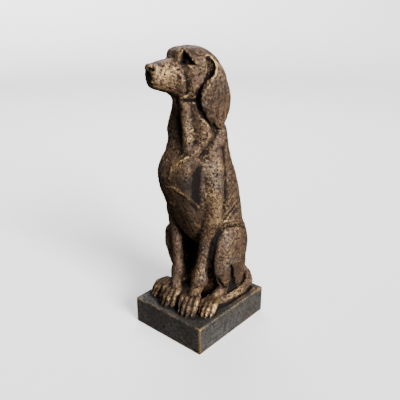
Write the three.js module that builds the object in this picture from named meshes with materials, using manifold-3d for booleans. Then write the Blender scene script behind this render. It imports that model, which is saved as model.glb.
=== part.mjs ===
// Seated hunting dog on a block-shaped plinth, cast in one piece in resin.
// Millimetres, +Z up. The origin is the middle of the plinth's underside.
// The dog faces -Y, its left side is +X, and its head is turned a little to its right.

import * as THREE from 'three';
import { mergeVertices } from 'three/addons/utils/BufferGeometryUtils.js';
import Module from 'manifold-3d';

// Plinth: a block with softly rounded edges, and a low ridge beside the tail
const plinth = { width: 93.6, depth: 110.2, height: 31, corner: 2.2, edge: 1.6 };
const tailRidge = { route: [[41.5, 0, 30], [42, 20, 30], [41.5, 45, 30]], radii: [1.8, 2.6, 2] };

// Trunk sections by height: the front and back of the body, and half its width
const ribcage = [
  { at: 29, front: -3, back: 44, half: 31 },
  { at: 68, front: 2, back: 51.3, half: 34.5 },
  { at: 98, front: -2, back: 49.7, half: 33 },
  { at: 134, front: -18, back: 45.3, half: 34 },
  { at: 168, front: -23, back: 36.3, half: 32.7 },
  { at: 190, front: -23, back: 28, half: 29.4 },
  { at: 204, front: -23, back: 24.4, half: 27 },
  { at: 236, front: -23, back: 16.4, half: 21 },
  { at: 270, front: -24, back: 7, half: 19 },
];
const breast = [
  { at: 92, front: -3, back: 9, half: 6 },
  { at: 106, front: -15.5, back: 10, half: 16 },
  { at: 124, front: -26.5, back: 8, half: 22.2 },
  { at: 150, front: -39.5, back: 5, half: 26.5 },
  { at: 176, front: -46.8, back: 3, half: 27 },
  { at: 191, front: -43, back: 1.5, half: 25.4 },
  { at: 204, front: -34.4, back: 0, half: 20.6 },
  { at: 234, front: -30.2, back: 0, half: 17.6 },
  { at: 268, front: -27.8, back: 0, half: 16.5 },
];
const neck = {
  leftBand: { top: [14, 11.5, -24], foot: [11, -29, 198], radii: [5.6, 5.2] },
  rightBand: { top: [7, 10, -24], foot: [9, -24.5, 200], radii: [5.6, 5] },
  side: { top: [-6, 15, -26], foot: [19.5, -18, 200], radii: [8, 8] },
  throat: { top: [18, 0, -21], foot: [-1, -26, 238], radii: [4.6, 3] },
};
const breastMuscle = {
  route: [[12, -34, 197], [17, -28, 203], [22, -14, 217]],
  leftRadii: [3.4, 4.6, 5],
  rightRadii: [2, 2.8, 4],
};

// Head: skull and muzzle sections ahead of the skull's middle, ear sections above and below it
const head = { middle: [0, -12, 277], turn: 20 };
const skull = [
  { at: -31, top: -4, bottom: -8, half: 3 },
  { at: -24.5, top: 8, bottom: -20, half: 14.3 },
  { at: -10, top: 19.4, bottom: -25, half: 21 },
  { at: 6, top: 21.6, bottom: -25, half: 21 },
  { at: 18, top: 18.8, bottom: -23, half: 17 },
  { at: 23, top: 12.8, bottom: -21, half: 12.5 },
];
const muzzle = [
  { at: 8, top: 10, bottom: -24, half: 14 },
  { at: 24, top: 11, bottom: -20.5, half: 12.8 },
  { at: 37, top: 8.4, bottom: -16.6, half: 11.8 },
  { at: 42.6, top: 6.4, bottom: -14.4, half: 9.6 },
  { at: 46.2, top: 2.8, bottom: -10.2, half: 5.2 },
];
const nose = { middle: [43, 0, 3.6], radii: [4.4, 6.2, 4.2] };
const nostril = { route: [[45.5, 3.6, 3.2], [42.5, 7.2, 2.2]], radii: [1.4, 1.1] };
const cheek = { middle: [2, 13, -10], radii: [17, 7.8, 14] };
const cheekGroove = { route: [[17, 18, 2], [15, 20, -8], [15, 19, -16]], radii: [3.2, 3.6, 2.6] };
const brow = { middle: [14, 8.5, 13.6], radii: [7, 6, 6] };
const eye = {
  corners: [[14.4, 10.6, 19], [6.6, 19.7, 6.1], [18.8, 13.2, 6.8]],
  outward: [0.5, 0.86, 0.05],
  depth: 6,
  ball: { middle: [10, 10.4, 8.6], radii: [3.2, 3.2, 3.2] },
};
const ear = {
  flare: 18,
  sections: [
    { at: -54, front: -9, back: -13.5, side: 25, half: 3 },
    { at: -45, front: 1.2, back: -20.8, side: 25.2, half: 3.8 },
    { at: -28, front: 14.6, back: -26, side: 25.4, half: 4.5 },
    { at: -13, front: 10.8, back: -21.8, side: 24.8, half: 4.6 },
    { at: 1, front: -2.2, back: -17.2, side: 22.7, half: 4.2 },
    { at: 14, front: 2, back: -6, side: 18, half: 2.5 },
  ],
  hollow: {
    route: [
      [-5, 20, 11], [-8, 21, 5], [-7, 21.5, -2], [1, 22, -13],
      [8, 22.5, -20], [10, 22.5, -28], [7, 24, -36],
    ],
    radii: [2.2, 4.3, 4.6, 4.2, 3.5, 3, 2],
  },
};

// Limbs of the left side; the right side mirrors them, but each leg has its own stance
const shoulder = { route: [[17, 5, 216], [25.5, -10, 184]], radii: [8.5, 11.5] };
const upperArm = {
  route: [[25.5, -10, 184], [26.3, -11, 160], [25.5, -10, 130]],
  radii: [11.5, 11.8, 10.5],
};
const pasternFoot = { depth: -29.5, height: 45.5, radius: 6.4 };
const armGroove = {
  route: [
    [27, -15, 211], [26, -27, 198], [26.8, -34.5, 176],
    [26, -33, 150], [22, -28, 128], [17.5, -26, 112],
  ],
  radii: [1.4, 3, 5.2, 5, 3.4, 2.4],
};
const armBack = {
  route: [[32, 0, 203], [36.5, -1, 184], [38, -1, 162], [38, -1, 142], [37.5, 0, 128]],
  radii: [1.5, 3, 3.6, 3.6, 3],
};
const thigh = { middle: [28, 13.5, 88], radii: [14, 28, 37], lean: -16 };
const hock = { route: [[29, 26, 69], [29.5, 26.7, 56], [28.5, 27, 42]], radii: [10, 8, 5.5] };
const rump = { middle: [18, 36, 40], radii: [12.5, 11, 16] };
const hindFoot = { route: [[27, 26, 37], [28, 8, 37], [29, -10, 41]], radii: [6, 5.6, 4.8] };
const instep = { end: [29, -8, 42], radii: [5, 4.8] };
const hockSlit = { route: [[40.5, 3, 77], [39.5, 8.2, 61.4], [38, 13.1, 46]], radii: [1.6, 2.8, 4] };
const flankCrease = { route: [[33, 33, 137], [36, 17, 134], [36, 3, 125]], radii: [1.4, 2.8, 2.2] };
const leftElbowGap = {
  route: [[31.5, -8.5, 120], [30, -11.5, 111], [29, -13.5, 102], [28, -15.5, 92]],
  radii: [2.2, 3.6, 3.6, 3],
};
const leftStance = {
  side: 1,
  forearm: {
    route: [[25.5, -10, 130], [21, -14, 107.4], [19, -18.5, 84], [18.8, -22.5, 64.6]],
    radii: [10, 7.4, 6.4, 7.4],
  },
  wristRadii: [8.2, 8.2, 10],
  forePaw: { middle: 15, turn: 11, reach: -47.5 },
  thighDrop: 0,
  shin: {
    route: [[33, 4, 102], [32, -0.5, 81], [31, 0.5, 64], [29.5, 3.6, 48]],
    radii: [9.5, 8.6, 7.6, 5],
  },
  hindPaw: { middle: 29.5, turn: 14, reach: -35.5 },
};
const rightStance = {
  side: -1,
  forearm: {
    route: [[-25.5, -10, 130], [-23, -14.5, 103], [-17.5, -18, 84.6], [-13.5, -21.5, 63]],
    radii: [9.5, 6.4, 6, 6.6],
  },
  wristRadii: [6.8, 6.8, 9],
  forePaw: { middle: -10.5, turn: 0, reach: -47 },
  thighDrop: 3.5,
  shin: {
    route: [[-33, -6, 98], [-32.5, -8, 86], [-30.5, -7, 70], [-27, -4, 50]],
    radii: [10.5, 9.5, 7, 5.5],
  },
  hindPaw: { middle: -32, turn: -4, reach: -38.5 },
};
const stances = [leftStance, rightStance];

// Toes: four a paw, each falling from a raised knuckle to the plinth.
// A joint is given by its length back from the longest toe, its height,
// the spread between neighbouring toes and its radius.
const toes = { places: [-1.5, -0.5, 0.5, 1.5], outerSetback: 2.8 };
const foreToe = [
  { back: 19, height: 46.5, spread: 3.6, radius: 3.2 },
  { back: 10.5, height: 44.5, spread: 5.4, radius: 3.6 },
  { back: 3.2, height: 39.2, spread: 5.4, radius: 3.4, setBack: true },
  { back: 0.4, height: 33.5, spread: 5.2, radius: 2.8, setBack: true },
];
const hindToe = [
  { back: 23, height: 41, spread: 3.2, radius: 3 },
  { back: 11, height: 40.5, spread: 4.5, radius: 3.3 },
  { back: 3, height: 37.4, spread: 4.5, radius: 3.1, setBack: true },
  { back: 0.4, height: 33.5, spread: 4.4, radius: 2.7, setBack: true },
];

// Tail: from the rump round the left rear corner and forward along the plinth
const tail = {
  route: [
    [4, 44, 56], [16, 50, 49], [27, 50.3, 43.2], [34.5, 44, 39.3],
    [37, 30, 36.5], [37, 16, 36], [35, 3, 35.5], [32, -7, 35],
  ],
  radii: [8, 6.2, 5.3, 5, 4.8, 4.6, 4.3, 4],
};

// How wide each mass melts into the rest, and how square the lofted sections are: 2 is an ellipse
const blends = {
  ribcage: 1, breast: 3, neckBand: 2.5, throat: 6, neckSide: 4, breastMuscle: 3,
  shoulder: 6, foreleg: 3, armGroove: 3.5, armBack: 4, hindleg: 4, rump: 5, hindFoot: 3, toe: 0.7,
  hockSlit: 1.5, flankCrease: 2.5, elbowGap: 2.5, tail: 1.5, tailRidge: 1.2,
  skull: 4, muzzle: 3, cheek: 5, brow: 4, nose: 1.2, eye: 2, eyeball: 0.4, nostril: 0.6, cheekGroove: 4,
  ear: 2, earHollow: 1.6,
};
const squareness = { ribcage: 2.35, breast: 2.8, skull: 2.6, muzzle: 2.8, ear: 2.3 };

// How finely the clay is sampled, how deep the dog sinks into the plinth and how many facets it keeps
const lattice = { low: [-52, -66, 26], high: [52, 63, 303], spacing: 1.6, reach: 9, far: 15 };
const sunkDepth = 2;
const plinthClearance = 0.3;
const dogFacets = 9300;
const evening = { passes: 2, inward: 0.5, outward: -0.52 };

const finish = { colour: '#4a3c30', roughness: 0.55, metalness: 0.35 };

const vector = ([x, y, z]) => new THREE.Vector3(x, y, z);
const mirrored = ([x, y, z], side) => [x * side, y, z];
const upright = new THREE.Matrix3();

// Axes as the columns of a matrix, so that a local offset becomes one in the model
function axesOf(first, second, third) {
  return new THREE.Matrix3().set(
    first.x, second.x, third.x,
    first.y, second.y, third.y,
    first.z, second.z, third.z,
  );
}

// The head's own directions
const headTurn = THREE.MathUtils.degToRad(head.turn);
const forward = new THREE.Vector3(-Math.sin(headTurn), -Math.cos(headTurn), 0);
const left = new THREE.Vector3(Math.cos(headTurn), -Math.sin(headTurn), 0);
const up = new THREE.Vector3(0, 0, 1);
const headAxes = axesOf(forward, left, up);
const skullMiddle = vector(head.middle);
const onHead = (offset) => vector(offset).applyMatrix3(headAxes).add(skullMiddle);

// Blend two distances: the smaller one, with the crease between them filled over the blend's width
function melt(a, b, blend) {
  const overlap = Math.max(blend - Math.abs(a - b), 0) / blend;
  return Math.min(a, b) - overlap * overlap * blend / 4;
}

// A mass is a distance function and the box that holds it

// Balls along a route, with straight tapers between them
function chain(points, radii) {
  const links = points.slice(1).map((end, index) => {
    const start = points[index];
    const axis = end.clone().sub(start);
    const taper = THREE.MathUtils.clamp((radii[index] - radii[index + 1]) / axis.length(), -0.99, 0.99);
    const lead = taper / Math.sqrt(1 - taper * taper) / axis.length();
    return { start, axis, lead, lengthSq: axis.lengthSq(), wide: radii[index], narrow: radii[index + 1] };
  });
  const box = new THREE.Box3().setFromPoints(points).expandByScalar(Math.max(...radii));
  const offset = new THREE.Vector3();
  function distance(point) {
    let nearest = Infinity;
    for (const { start, axis, lead, lengthSq, wide, narrow } of links) {
      offset.copy(point).sub(start);
      const along = offset.dot(axis) / lengthSq;
      const across = Math.sqrt(Math.max(offset.lengthSq() - along * along * lengthSq, 0));
      const foot = THREE.MathUtils.clamp(along - across * lead, 0, 1);
      const gap = offset.addScaledVector(axis, -foot).length() - (wide + (narrow - wide) * foot);
      nearest = Math.min(nearest, gap);
    }
    return nearest;
  }
  return { box, distance };
}

// An egg-shaped lump with its own axes
function lump(middle, radii, axes = upright) {
  const inverse = axes.clone().transpose();
  const size = vector(radii);
  const box = new THREE.Box3(middle.clone(), middle.clone()).expandByScalar(Math.max(...radii));
  const local = new THREE.Vector3();
  function distance(point) {
    local.copy(point).sub(middle).applyMatrix3(inverse).divide(size);
    const scaled = local.length();
    const slope = local.divide(size).length() + 1e-9;
    return scaled * (scaled - 1) / slope;
  }
  return { box, distance };
}

// Rounded sections stacked along an axis, each with a front, a back, a side shift and half a width
function loft(middle, axes, sections, power) {
  const inverse = axes.clone().transpose();
  const stops = Float32Array.from(sections, (section) => section.at);
  const rows = sections.flatMap(({ front, back, side = 0, half }) => [front, back, side, half]);
  const spline = new THREE.CubicInterpolant(stops, Float32Array.from(rows), 4, new Float32Array(4));
  const first = stops[0];
  const last = stops[stops.length - 1];
  const corners = sections.flatMap(({ at, front, back, side = 0, half }) => (
    [[front, side - half], [front, side + half], [back, side - half], [back, side + half]].map(
      ([depth, across]) => new THREE.Vector3(depth, across, at).applyMatrix3(axes).add(middle),
    )
  ));
  const box = new THREE.Box3().setFromPoints(corners);
  const local = new THREE.Vector3();
  function distance(point) {
    local.copy(point).sub(middle).applyMatrix3(inverse);
    const [front, back, side, half] = spline.evaluate(THREE.MathUtils.clamp(local.z, first, last));
    const halfDepth = Math.abs(front - back) / 2;
    const depth = Math.abs(local.x - (front + back) / 2) / halfDepth;
    const across = Math.abs(local.y - side) / half;
    const rim = ((depth ** power + across ** power) ** (1 / power) - 1) * Math.min(halfDepth, half);
    const pastEnd = Math.max(first - local.z, local.z - last);
    return pastEnd > 0 ? Math.hypot(Math.max(rim, 0), pastEnd) : Math.max(rim, pastEnd);
  }
  return { box, distance };
}

// A pocket with straight sides: a polygon swept along a direction, from a depth below it outward
function recess(corners, outward, depth) {
  const middle = new THREE.Vector3();
  for (const corner of corners) middle.addScaledVector(corner, 1 / corners.length);
  const sides = corners.map((corner, index) => {
    const next = corners[(index + 1) % corners.length];
    const normal = next.clone().sub(corner).cross(outward).normalize();
    if (normal.dot(middle.clone().sub(corner)) > 0) normal.negate();
    return { corner, normal };
  });
  const box = new THREE.Box3().setFromPoints(corners).expandByScalar(2 * depth);
  const offset = new THREE.Vector3();
  function distance(point) {
    let farthest = -depth - offset.copy(point).sub(middle).dot(outward);
    for (const { corner, normal } of sides) {
      farthest = Math.max(farthest, offset.copy(point).sub(corner).dot(normal));
    }
    return farthest;
  }
  return { box, distance };
}

// Clay: a lattice of distances to the surface, which masses are added to and carved out of
class Clay {
  constructor({ low, high, spacing, reach, far }) {
    this.low = vector(low);
    this.spacing = spacing;
    this.reach = reach;
    this.counts = vector(high).sub(this.low).divideScalar(spacing).ceil().addScalar(1);
    this.field = new Float32Array(this.counts.x * this.counts.y * this.counts.z).fill(far);
  }

  node(i, j, k) {
    return (k * this.counts.y + j) * this.counts.x + i;
  }

  place(i, j, k, target) {
    return target.set(i, j, k).multiplyScalar(this.spacing).add(this.low);
  }

  work(mass, blend, combine) {
    const box = mass.box.clone().expandByScalar(blend + this.reach);
    const none = new THREE.Vector3();
    const end = this.counts.clone().subScalar(1);
    const from = box.min.sub(this.low).divideScalar(this.spacing).floor().clamp(none, end);
    const to = box.max.sub(this.low).divideScalar(this.spacing).ceil().clamp(none, end);
    const point = new THREE.Vector3();
    for (let k = from.z; k <= to.z; k += 1) {
      for (let j = from.y; j <= to.y; j += 1) {
        for (let i = from.x; i <= to.x; i += 1) {
          const node = this.node(i, j, k);
          this.field[node] = combine(this.field[node], mass.distance(this.place(i, j, k, point)));
        }
      }
    }
  }

  add(mass, blend) {
    this.work(mass, blend, (old, distance) => melt(old, distance, blend));
  }

  carve(mass, blend) {
    this.work(mass, blend, (old, distance) => -melt(-old, distance, blend));
  }
}

// Trunk and neck
const bodyAxes = axesOf(new THREE.Vector3(0, 1, 0), new THREE.Vector3(1, 0, 0), up);
const origin = new THREE.Vector3();

function modelTrunk(clay) {
  clay.add(loft(origin, bodyAxes, ribcage, squareness.ribcage), blends.ribcage);
  clay.add(loft(origin, bodyAxes, breast, squareness.breast), blends.breast);
  clay.add(neckChain(neck.leftBand, 1), blends.neckBand);
  clay.add(neckChain(neck.rightBand, -1), blends.neckBand);
  clay.add(neckChain(neck.throat, 1), blends.throat);
  for (const { side } of stances) clay.add(neckChain(neck.side, side), blends.neckSide);
}

// A muscle that runs from the head down to the breast
function neckChain({ top: [ahead, across, above], foot, radii }, side) {
  return chain([onHead([ahead, across * side, above]), vector(mirrored(foot, side))], radii);
}

function sideChain({ route, radii }, side) {
  return chain(route.map((point) => vector(mirrored(point, side))), radii);
}

// Four toes that fan out from a paw's root, the paw turned outward or inward about it
function modelToes(clay, joints, { middle, turn, reach }) {
  const angle = THREE.MathUtils.degToRad(turn);
  const rootBack = joints[0].back;
  const radii = joints.map((joint) => joint.radius);
  for (const place of toes.places) {
    const route = joints.map(({ back, height, spread, setBack = false }) => {
      const setback = setBack ? Math.abs(place) * toes.outerSetback : 0;
      const fromRoot = new THREE.Vector3(place * spread, back + setback - rootBack, height);
      return fromRoot.applyAxisAngle(up, angle).add(new THREE.Vector3(middle, reach + rootBack, 0));
    });
    clay.add(chain(route, radii), blends.toe);
  }
}

const ownChain = ({ route, radii }) => chain(route.map(vector), radii);

function modelForeleg(clay, { side, forearm, wristRadii, forePaw }) {
  const wrist = vector(forearm.route.at(-1));
  const foot = new THREE.Vector3(forePaw.middle, pasternFoot.depth, pasternFoot.height);
  clay.add(sideChain(shoulder, side), blends.shoulder);
  clay.add(sideChain(upperArm, side), blends.foreleg);
  clay.add(ownChain(forearm), blends.foreleg);
  clay.add(lump(wrist, wristRadii), blends.foreleg);
  clay.add(chain([wrist, foot], [forearm.radii.at(-1), pasternFoot.radius]), blends.foreleg);
  modelToes(clay, foreToe, forePaw);
  clay.carve(sideChain(armGroove, side), blends.armGroove);
  clay.carve(sideChain(armBack, side), blends.armBack);
  const muscleRadii = side > 0 ? breastMuscle.leftRadii : breastMuscle.rightRadii;
  clay.add(sideChain({ route: breastMuscle.route, radii: muscleRadii }, side), blends.breastMuscle);
}

function modelHindleg(clay, { side, thighDrop, shin, hindPaw }) {
  const lean = new THREE.Matrix4().makeRotationX(THREE.MathUtils.degToRad(thigh.lean));
  const thighAxes = new THREE.Matrix3().setFromMatrix4(lean);
  const thighMiddle = vector(mirrored(thigh.middle, side));
  thighMiddle.z -= thighDrop;
  const ankle = vector(shin.route.at(-1));
  clay.add(lump(thighMiddle, thigh.radii, thighAxes), blends.hindleg);
  clay.add(ownChain(shin), blends.hindleg);
  clay.add(sideChain(hock, side), blends.hindleg);
  clay.add(lump(vector(mirrored(rump.middle, side)), rump.radii), blends.rump);
  clay.add(sideChain(hindFoot, side), blends.hindFoot);
  clay.add(chain([ankle, vector(mirrored(instep.end, side))], instep.radii), blends.hindFoot);
  modelToes(clay, hindToe, hindPaw);
  clay.carve(sideChain(hockSlit, side), blends.hockSlit);
  clay.carve(sideChain(flankCrease, side), blends.flankCrease);
}

// Skull, muzzle, cheeks and nose
const alongHead = axesOf(up, left, forward);
const headSections = (sections) => (
  sections.map(({ at, top, bottom, half }) => ({ at, front: top, back: bottom, half }))
);
const headChain = ({ route, radii }, side) => (
  chain(route.map(([ahead, across, above]) => onHead([ahead, across * side, above])), radii)
);
const headLump = ({ middle: [ahead, across, above], radii }, side, axes = headAxes) => (
  lump(onHead([ahead, across * side, above]), radii, axes)
);

function modelHead(clay) {
  clay.add(loft(skullMiddle, alongHead, headSections(skull), squareness.skull), blends.skull);
  clay.add(loft(skullMiddle, alongHead, headSections(muzzle), squareness.muzzle), blends.muzzle);
  for (const { side } of stances) {
    clay.add(headLump(cheek, side), blends.cheek);
    clay.add(headLump(brow, side), blends.brow);
  }
  clay.add(headLump(nose, 1), blends.nose);
}

// Deep-set eye under a slanting brow, nostril, and the hollow between muzzle and cheek
function modelFace(clay, side) {
  const corners = eye.corners.map(([ahead, across, above]) => onHead([ahead, across * side, above]));
  const [ahead, across, above] = eye.outward;
  const outward = new THREE.Vector3(ahead, across * side, above).normalize().applyMatrix3(headAxes);
  clay.carve(recess(corners, outward, eye.depth), blends.eye);
  clay.add(headLump(eye.ball, side), blends.eyeball);
  clay.carve(headChain(nostril, side), blends.nostril);
  clay.carve(headChain(cheekGroove, side), blends.cheekGroove);
}

// Ear: a hanging flap that flares outward at its front edge, with a hollow along that edge
function modelEar(clay, side) {
  const flare = THREE.MathUtils.degToRad(ear.flare) * side;
  const earForward = forward.clone().applyAxisAngle(up, flare);
  const earLeft = left.clone().applyAxisAngle(up, flare);
  const sections = ear.sections.map((section) => ({ ...section, side: section.side * side }));
  clay.add(loft(skullMiddle, axesOf(earForward, earLeft, up), sections, squareness.ear), blends.ear);
  clay.carve(headChain(ear.hollow, side), blends.earHollow);
}

// Surface of the clay: each lattice cube is split into six tetrahedra round its long diagonal,
// and each tetrahedron that the surface crosses gives one or two triangles
function surfaceOf(clay) {
  const { field, counts } = clay;
  const points = [];
  const triangles = [];
  const crossings = new Map();
  const corners = Array.from({ length: 8 }, (_, corner) => [corner & 1, (corner >> 1) & 1, corner >> 2]);
  const steps = [[1, 2], [1, 4], [2, 1], [2, 4], [4, 1], [4, 2]];
  const tetrahedra = steps.map(([a, b]) => [0, a, a | b, 7]);
  const places = corners.map(() => new THREE.Vector3());
  const nodes = corners.map(() => 0);
  const edgeMargin = 0.05;

  function crossing(first, second) {
    const [lower, upper] = first < second ? [first, second] : [second, first];
    const key = nodes[lower] * 8 + (lower ^ upper);
    if (!crossings.has(key)) {
      const [a, b] = [field[nodes[lower]], field[nodes[upper]]];
      const part = THREE.MathUtils.clamp(a / (a - b), edgeMargin, 1 - edgeMargin);
      crossings.set(key, points.length);
      points.push(places[lower].clone().lerp(places[upper], part));
    }
    return crossings.get(key);
  }

  function addTriangle(a, b, c, outward) {
    const normal = points[b].clone().sub(points[a]).cross(points[c].clone().sub(points[a]));
    triangles.push(normal.dot(outward) > 0 ? [a, b, c] : [a, c, b]);
  }

  for (let k = 0; k < counts.z - 1; k += 1) {
    for (let j = 0; j < counts.y - 1; j += 1) {
      for (let i = 0; i < counts.x - 1; i += 1) {
        corners.forEach(([x, y, z], corner) => { nodes[corner] = clay.node(i + x, j + y, k + z); });
        const insideCount = nodes.filter((node) => field[node] < 0).length;
        if (insideCount === 0 || insideCount === 8) continue;
        corners.forEach(([x, y, z], corner) => clay.place(i + x, j + y, k + z, places[corner]));
        for (const tetrahedron of tetrahedra) {
          const inside = tetrahedron.filter((corner) => field[nodes[corner]] < 0);
          const outside = tetrahedron.filter((corner) => field[nodes[corner]] >= 0);
          if (inside.length === 0 || outside.length === 0) continue;
          const outward = places[outside[0]].clone().sub(places[inside[0]]);
          const ring = inside.length === 2
            ? [[0, 0], [0, 1], [1, 1], [1, 0]].map(([a, b]) => crossing(inside[a], outside[b]))
            : inside.flatMap((a) => outside.map((b) => crossing(a, b)));
          addTriangle(ring[0], ring[1], ring[2], outward);
          if (ring.length === 4) addTriangle(ring[0], ring[2], ring[3], outward);
        }
      }
    }
  }
  return { points, triangles };
}

// Evening out: each corner moves towards the middle of its neighbours and then almost as far back,
// which takes the lattice's small steps off the surface and leaves the forms as they are
function evened({ points, triangles }, { passes, inward, outward }) {
  const rings = points.map(() => new Set());
  for (const [a, b, c] of triangles) {
    rings[a].add(b);
    rings[b].add(c);
    rings[c].add(a);
  }
  const pulled = (share) => (point, corner, all) => {
    const middle = new THREE.Vector3();
    for (const other of rings[corner]) middle.addScaledVector(all[other], 1 / rings[corner].size);
    return point.clone().lerp(middle, share);
  };
  let moved = points;
  for (let pass = 0; pass < passes; pass += 1) {
    moved = moved.map(pulled(inward));
    moved = moved.map(pulled(outward));
  }
  return { points: moved, triangles };
}

// A heap that hands back the entry with the lowest cost first
class CheapestFirst {
  constructor() {
    this.entries = [];
  }

  push(entry) {
    const { entries } = this;
    let place = entries.push(entry) - 1;
    while (place > 0) {
      const parent = (place - 1) >> 1;
      if (entries[parent].cost <= entry.cost) break;
      entries[place] = entries[parent];
      place = parent;
    }
    entries[place] = entry;
  }

  pop() {
    const { entries } = this;
    const cheapest = entries[0];
    const moved = entries.pop();
    if (entries.length === 0) return cheapest;
    let place = 0;
    for (;;) {
      let child = 2 * place + 1;
      if (child >= entries.length) break;
      if (child + 1 < entries.length && entries[child + 1].cost < entries[child].cost) child += 1;
      if (entries[child].cost >= moved.cost) break;
      entries[place] = entries[child];
      place = child;
    }
    entries[place] = moved;
    return cheapest;
  }
}

// Sum of squared distances to planes and points, as a symmetric matrix, a vector and a number
class Misfit {
  constructor() {
    this.sums = new Float64Array(10);
  }

  addPlane({ x, y, z }, offset, weight) {
    const squares = [x * x, x * y, x * z, y * y, y * z, z * z];
    const terms = [...squares, x * offset, y * offset, z * offset, offset * offset];
    terms.forEach((term, index) => { this.sums[index] += term * weight; });
  }

  addPoint(point, weight) {
    for (const index of [0, 1, 2]) {
      const axis = new THREE.Vector3().setComponent(index, 1);
      this.addPlane(axis, -axis.dot(point), weight);
    }
  }

  plus(other) {
    const total = new Misfit();
    total.sums.forEach((_, index) => { total.sums[index] = this.sums[index] + other.sums[index]; });
    return total;
  }

  bestPoint() {
    const [xx, xy, xz, yy, yz, zz, x, y, z] = this.sums;
    const matrix = new THREE.Matrix3().set(xx, xy, xz, xy, yy, yz, xz, yz, zz).invert();
    return new THREE.Vector3(-x, -y, -z).applyMatrix3(matrix);
  }

  at({ x, y, z }) {
    const [xx, xy, xz, yy, yz, zz, bx, by, bz, rest] = this.sums;
    const squares = xx * x * x + yy * y * y + zz * z * z;
    return squares + 2 * (xy * x * y + xz * x * z + yz * y * z + bx * x + by * y + bz * z) + rest;
  }
}

// Fewer facets: the edge whose loss changes the surface least is shrunk to a point, again and again.
// An edge stays where shrinking it would pinch the surface or fold a facet over.
function simplified({ points, triangles }, facetGoal) {
  const evenness = 1e-3;
  const steepestTurn = 0.25;
  const misfits = points.map(() => new Misfit());
  const fans = points.map(() => new Set());
  const versions = points.map(() => 0);
  const normalOf = ([a, b, c]) => points[b].clone().sub(points[a]).cross(points[c].clone().sub(points[a]));
  triangles.forEach((triangle, index) => {
    const normal = normalOf(triangle);
    const area = normal.length() / 2;
    normal.normalize();
    for (const corner of triangle) {
      fans[corner].add(index);
      misfits[corner].addPlane(normal, -normal.dot(points[corner]), area);
      misfits[corner].addPoint(points[corner], area * evenness);
    }
  });
  const neighbours = (corner) => {
    const found = new Set([...fans[corner]].flatMap((index) => triangles[index]));
    found.delete(corner);
    return found;
  };
  const queue = new CheapestFirst();
  const offer = (a, b) => {
    const misfit = misfits[a].plus(misfits[b]);
    const point = misfit.bestPoint();
    queue.push({ cost: misfit.at(point), a, b, point, misfit, stamp: versions[a] + versions[b] });
  };
  const folds = (corner, gone, point) => [...fans[corner]].some((index) => {
    const triangle = triangles[index];
    if (triangle.includes(gone)) return false;
    const before = normalOf(triangle).normalize();
    const kept = points[corner];
    points[corner] = point;
    const after = normalOf(triangle).normalize();
    points[corner] = kept;
    return before.dot(after) < steepestTurn;
  });
  points.forEach((_, corner) => {
    const later = [...neighbours(corner)].filter((other) => other > corner);
    later.forEach((other) => offer(corner, other));
  });
  let facets = triangles.length;
  while (facets > facetGoal && queue.entries.length > 0) {
    const { a, b, point, misfit, stamp } = queue.pop();
    if (!fans[a].size || !fans[b].size || stamp !== versions[a] + versions[b]) continue;
    const around = neighbours(b);
    const shared = [...neighbours(a)].filter((corner) => around.has(corner));
    if (shared.length !== 2 || folds(a, b, point) || folds(b, a, point)) continue;
    for (const index of fans[b]) {
      if (triangles[index].includes(a)) {
        triangles[index].forEach((corner) => { if (corner !== b) fans[corner].delete(index); });
        triangles[index] = null;
        facets -= 1;
      } else {
        triangles[index] = triangles[index].map((corner) => (corner === b ? a : corner));
        fans[a].add(index);
      }
    }
    fans[b].clear();
    points[a] = point;
    misfits[a] = misfit;
    versions[a] += 1;
    neighbours(a).forEach((other) => offer(a, other));
  }
  return { points, triangles: triangles.filter(Boolean) };
}

// Plinth block with rounded upright corners and rounded edges
function plinthGeometry({ width, depth, height, corner, edge }) {
  const [x, y] = [width / 2 - corner, depth / 2 - corner];
  const outline = new THREE.Shape();
  outline.absarc(x, y, corner, 0, Math.PI / 2);
  outline.absarc(-x, y, corner, Math.PI / 2, Math.PI);
  outline.absarc(-x, -y, corner, Math.PI, 1.5 * Math.PI);
  outline.absarc(x, -y, corner, 1.5 * Math.PI, 2 * Math.PI);
  const block = new THREE.ExtrudeGeometry(outline, {
    depth: height - 2 * edge,
    curveSegments: 3,
    bevelThickness: edge,
    bevelSize: edge,
    bevelOffset: -edge,
    bevelSegments: 2,
  });
  return block.translate(0, 0, edge);
}

function meshGeometry({ points, triangles }) {
  const geometry = new THREE.BufferGeometry().setFromPoints(points);
  return geometry.setIndex(triangles.flat());
}

const wasm = await Module();
wasm.setup();

function toSolid(geometry) {
  geometry.deleteAttribute('normal');
  geometry.deleteAttribute('uv');
  const merged = mergeVertices(geometry);
  const vertProperties = Float32Array.from(merged.attributes.position.array);
  const triVerts = Uint32Array.from(merged.index.array);
  return new wasm.Manifold(new wasm.Mesh({ numProp: 3, vertProperties, triVerts }));
}

function fromSolid(solid) {
  const { vertProperties, triVerts } = solid.getMesh();
  const geometry = new THREE.BufferGeometry();
  geometry.setAttribute('position', new THREE.Float32BufferAttribute(vertProperties, 3));
  geometry.setIndex([...triVerts]);
  geometry.computeVertexNormals();
  return geometry;
}

// A corner that almost lies in the plinth's top moves a little away from it, so that no sliver is left
function keepClear(point) {
  const height = point.z - plinth.height;
  if (Math.abs(height) < plinthClearance) point.z = plinth.height + Math.sign(height) * plinthClearance;
}

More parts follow.
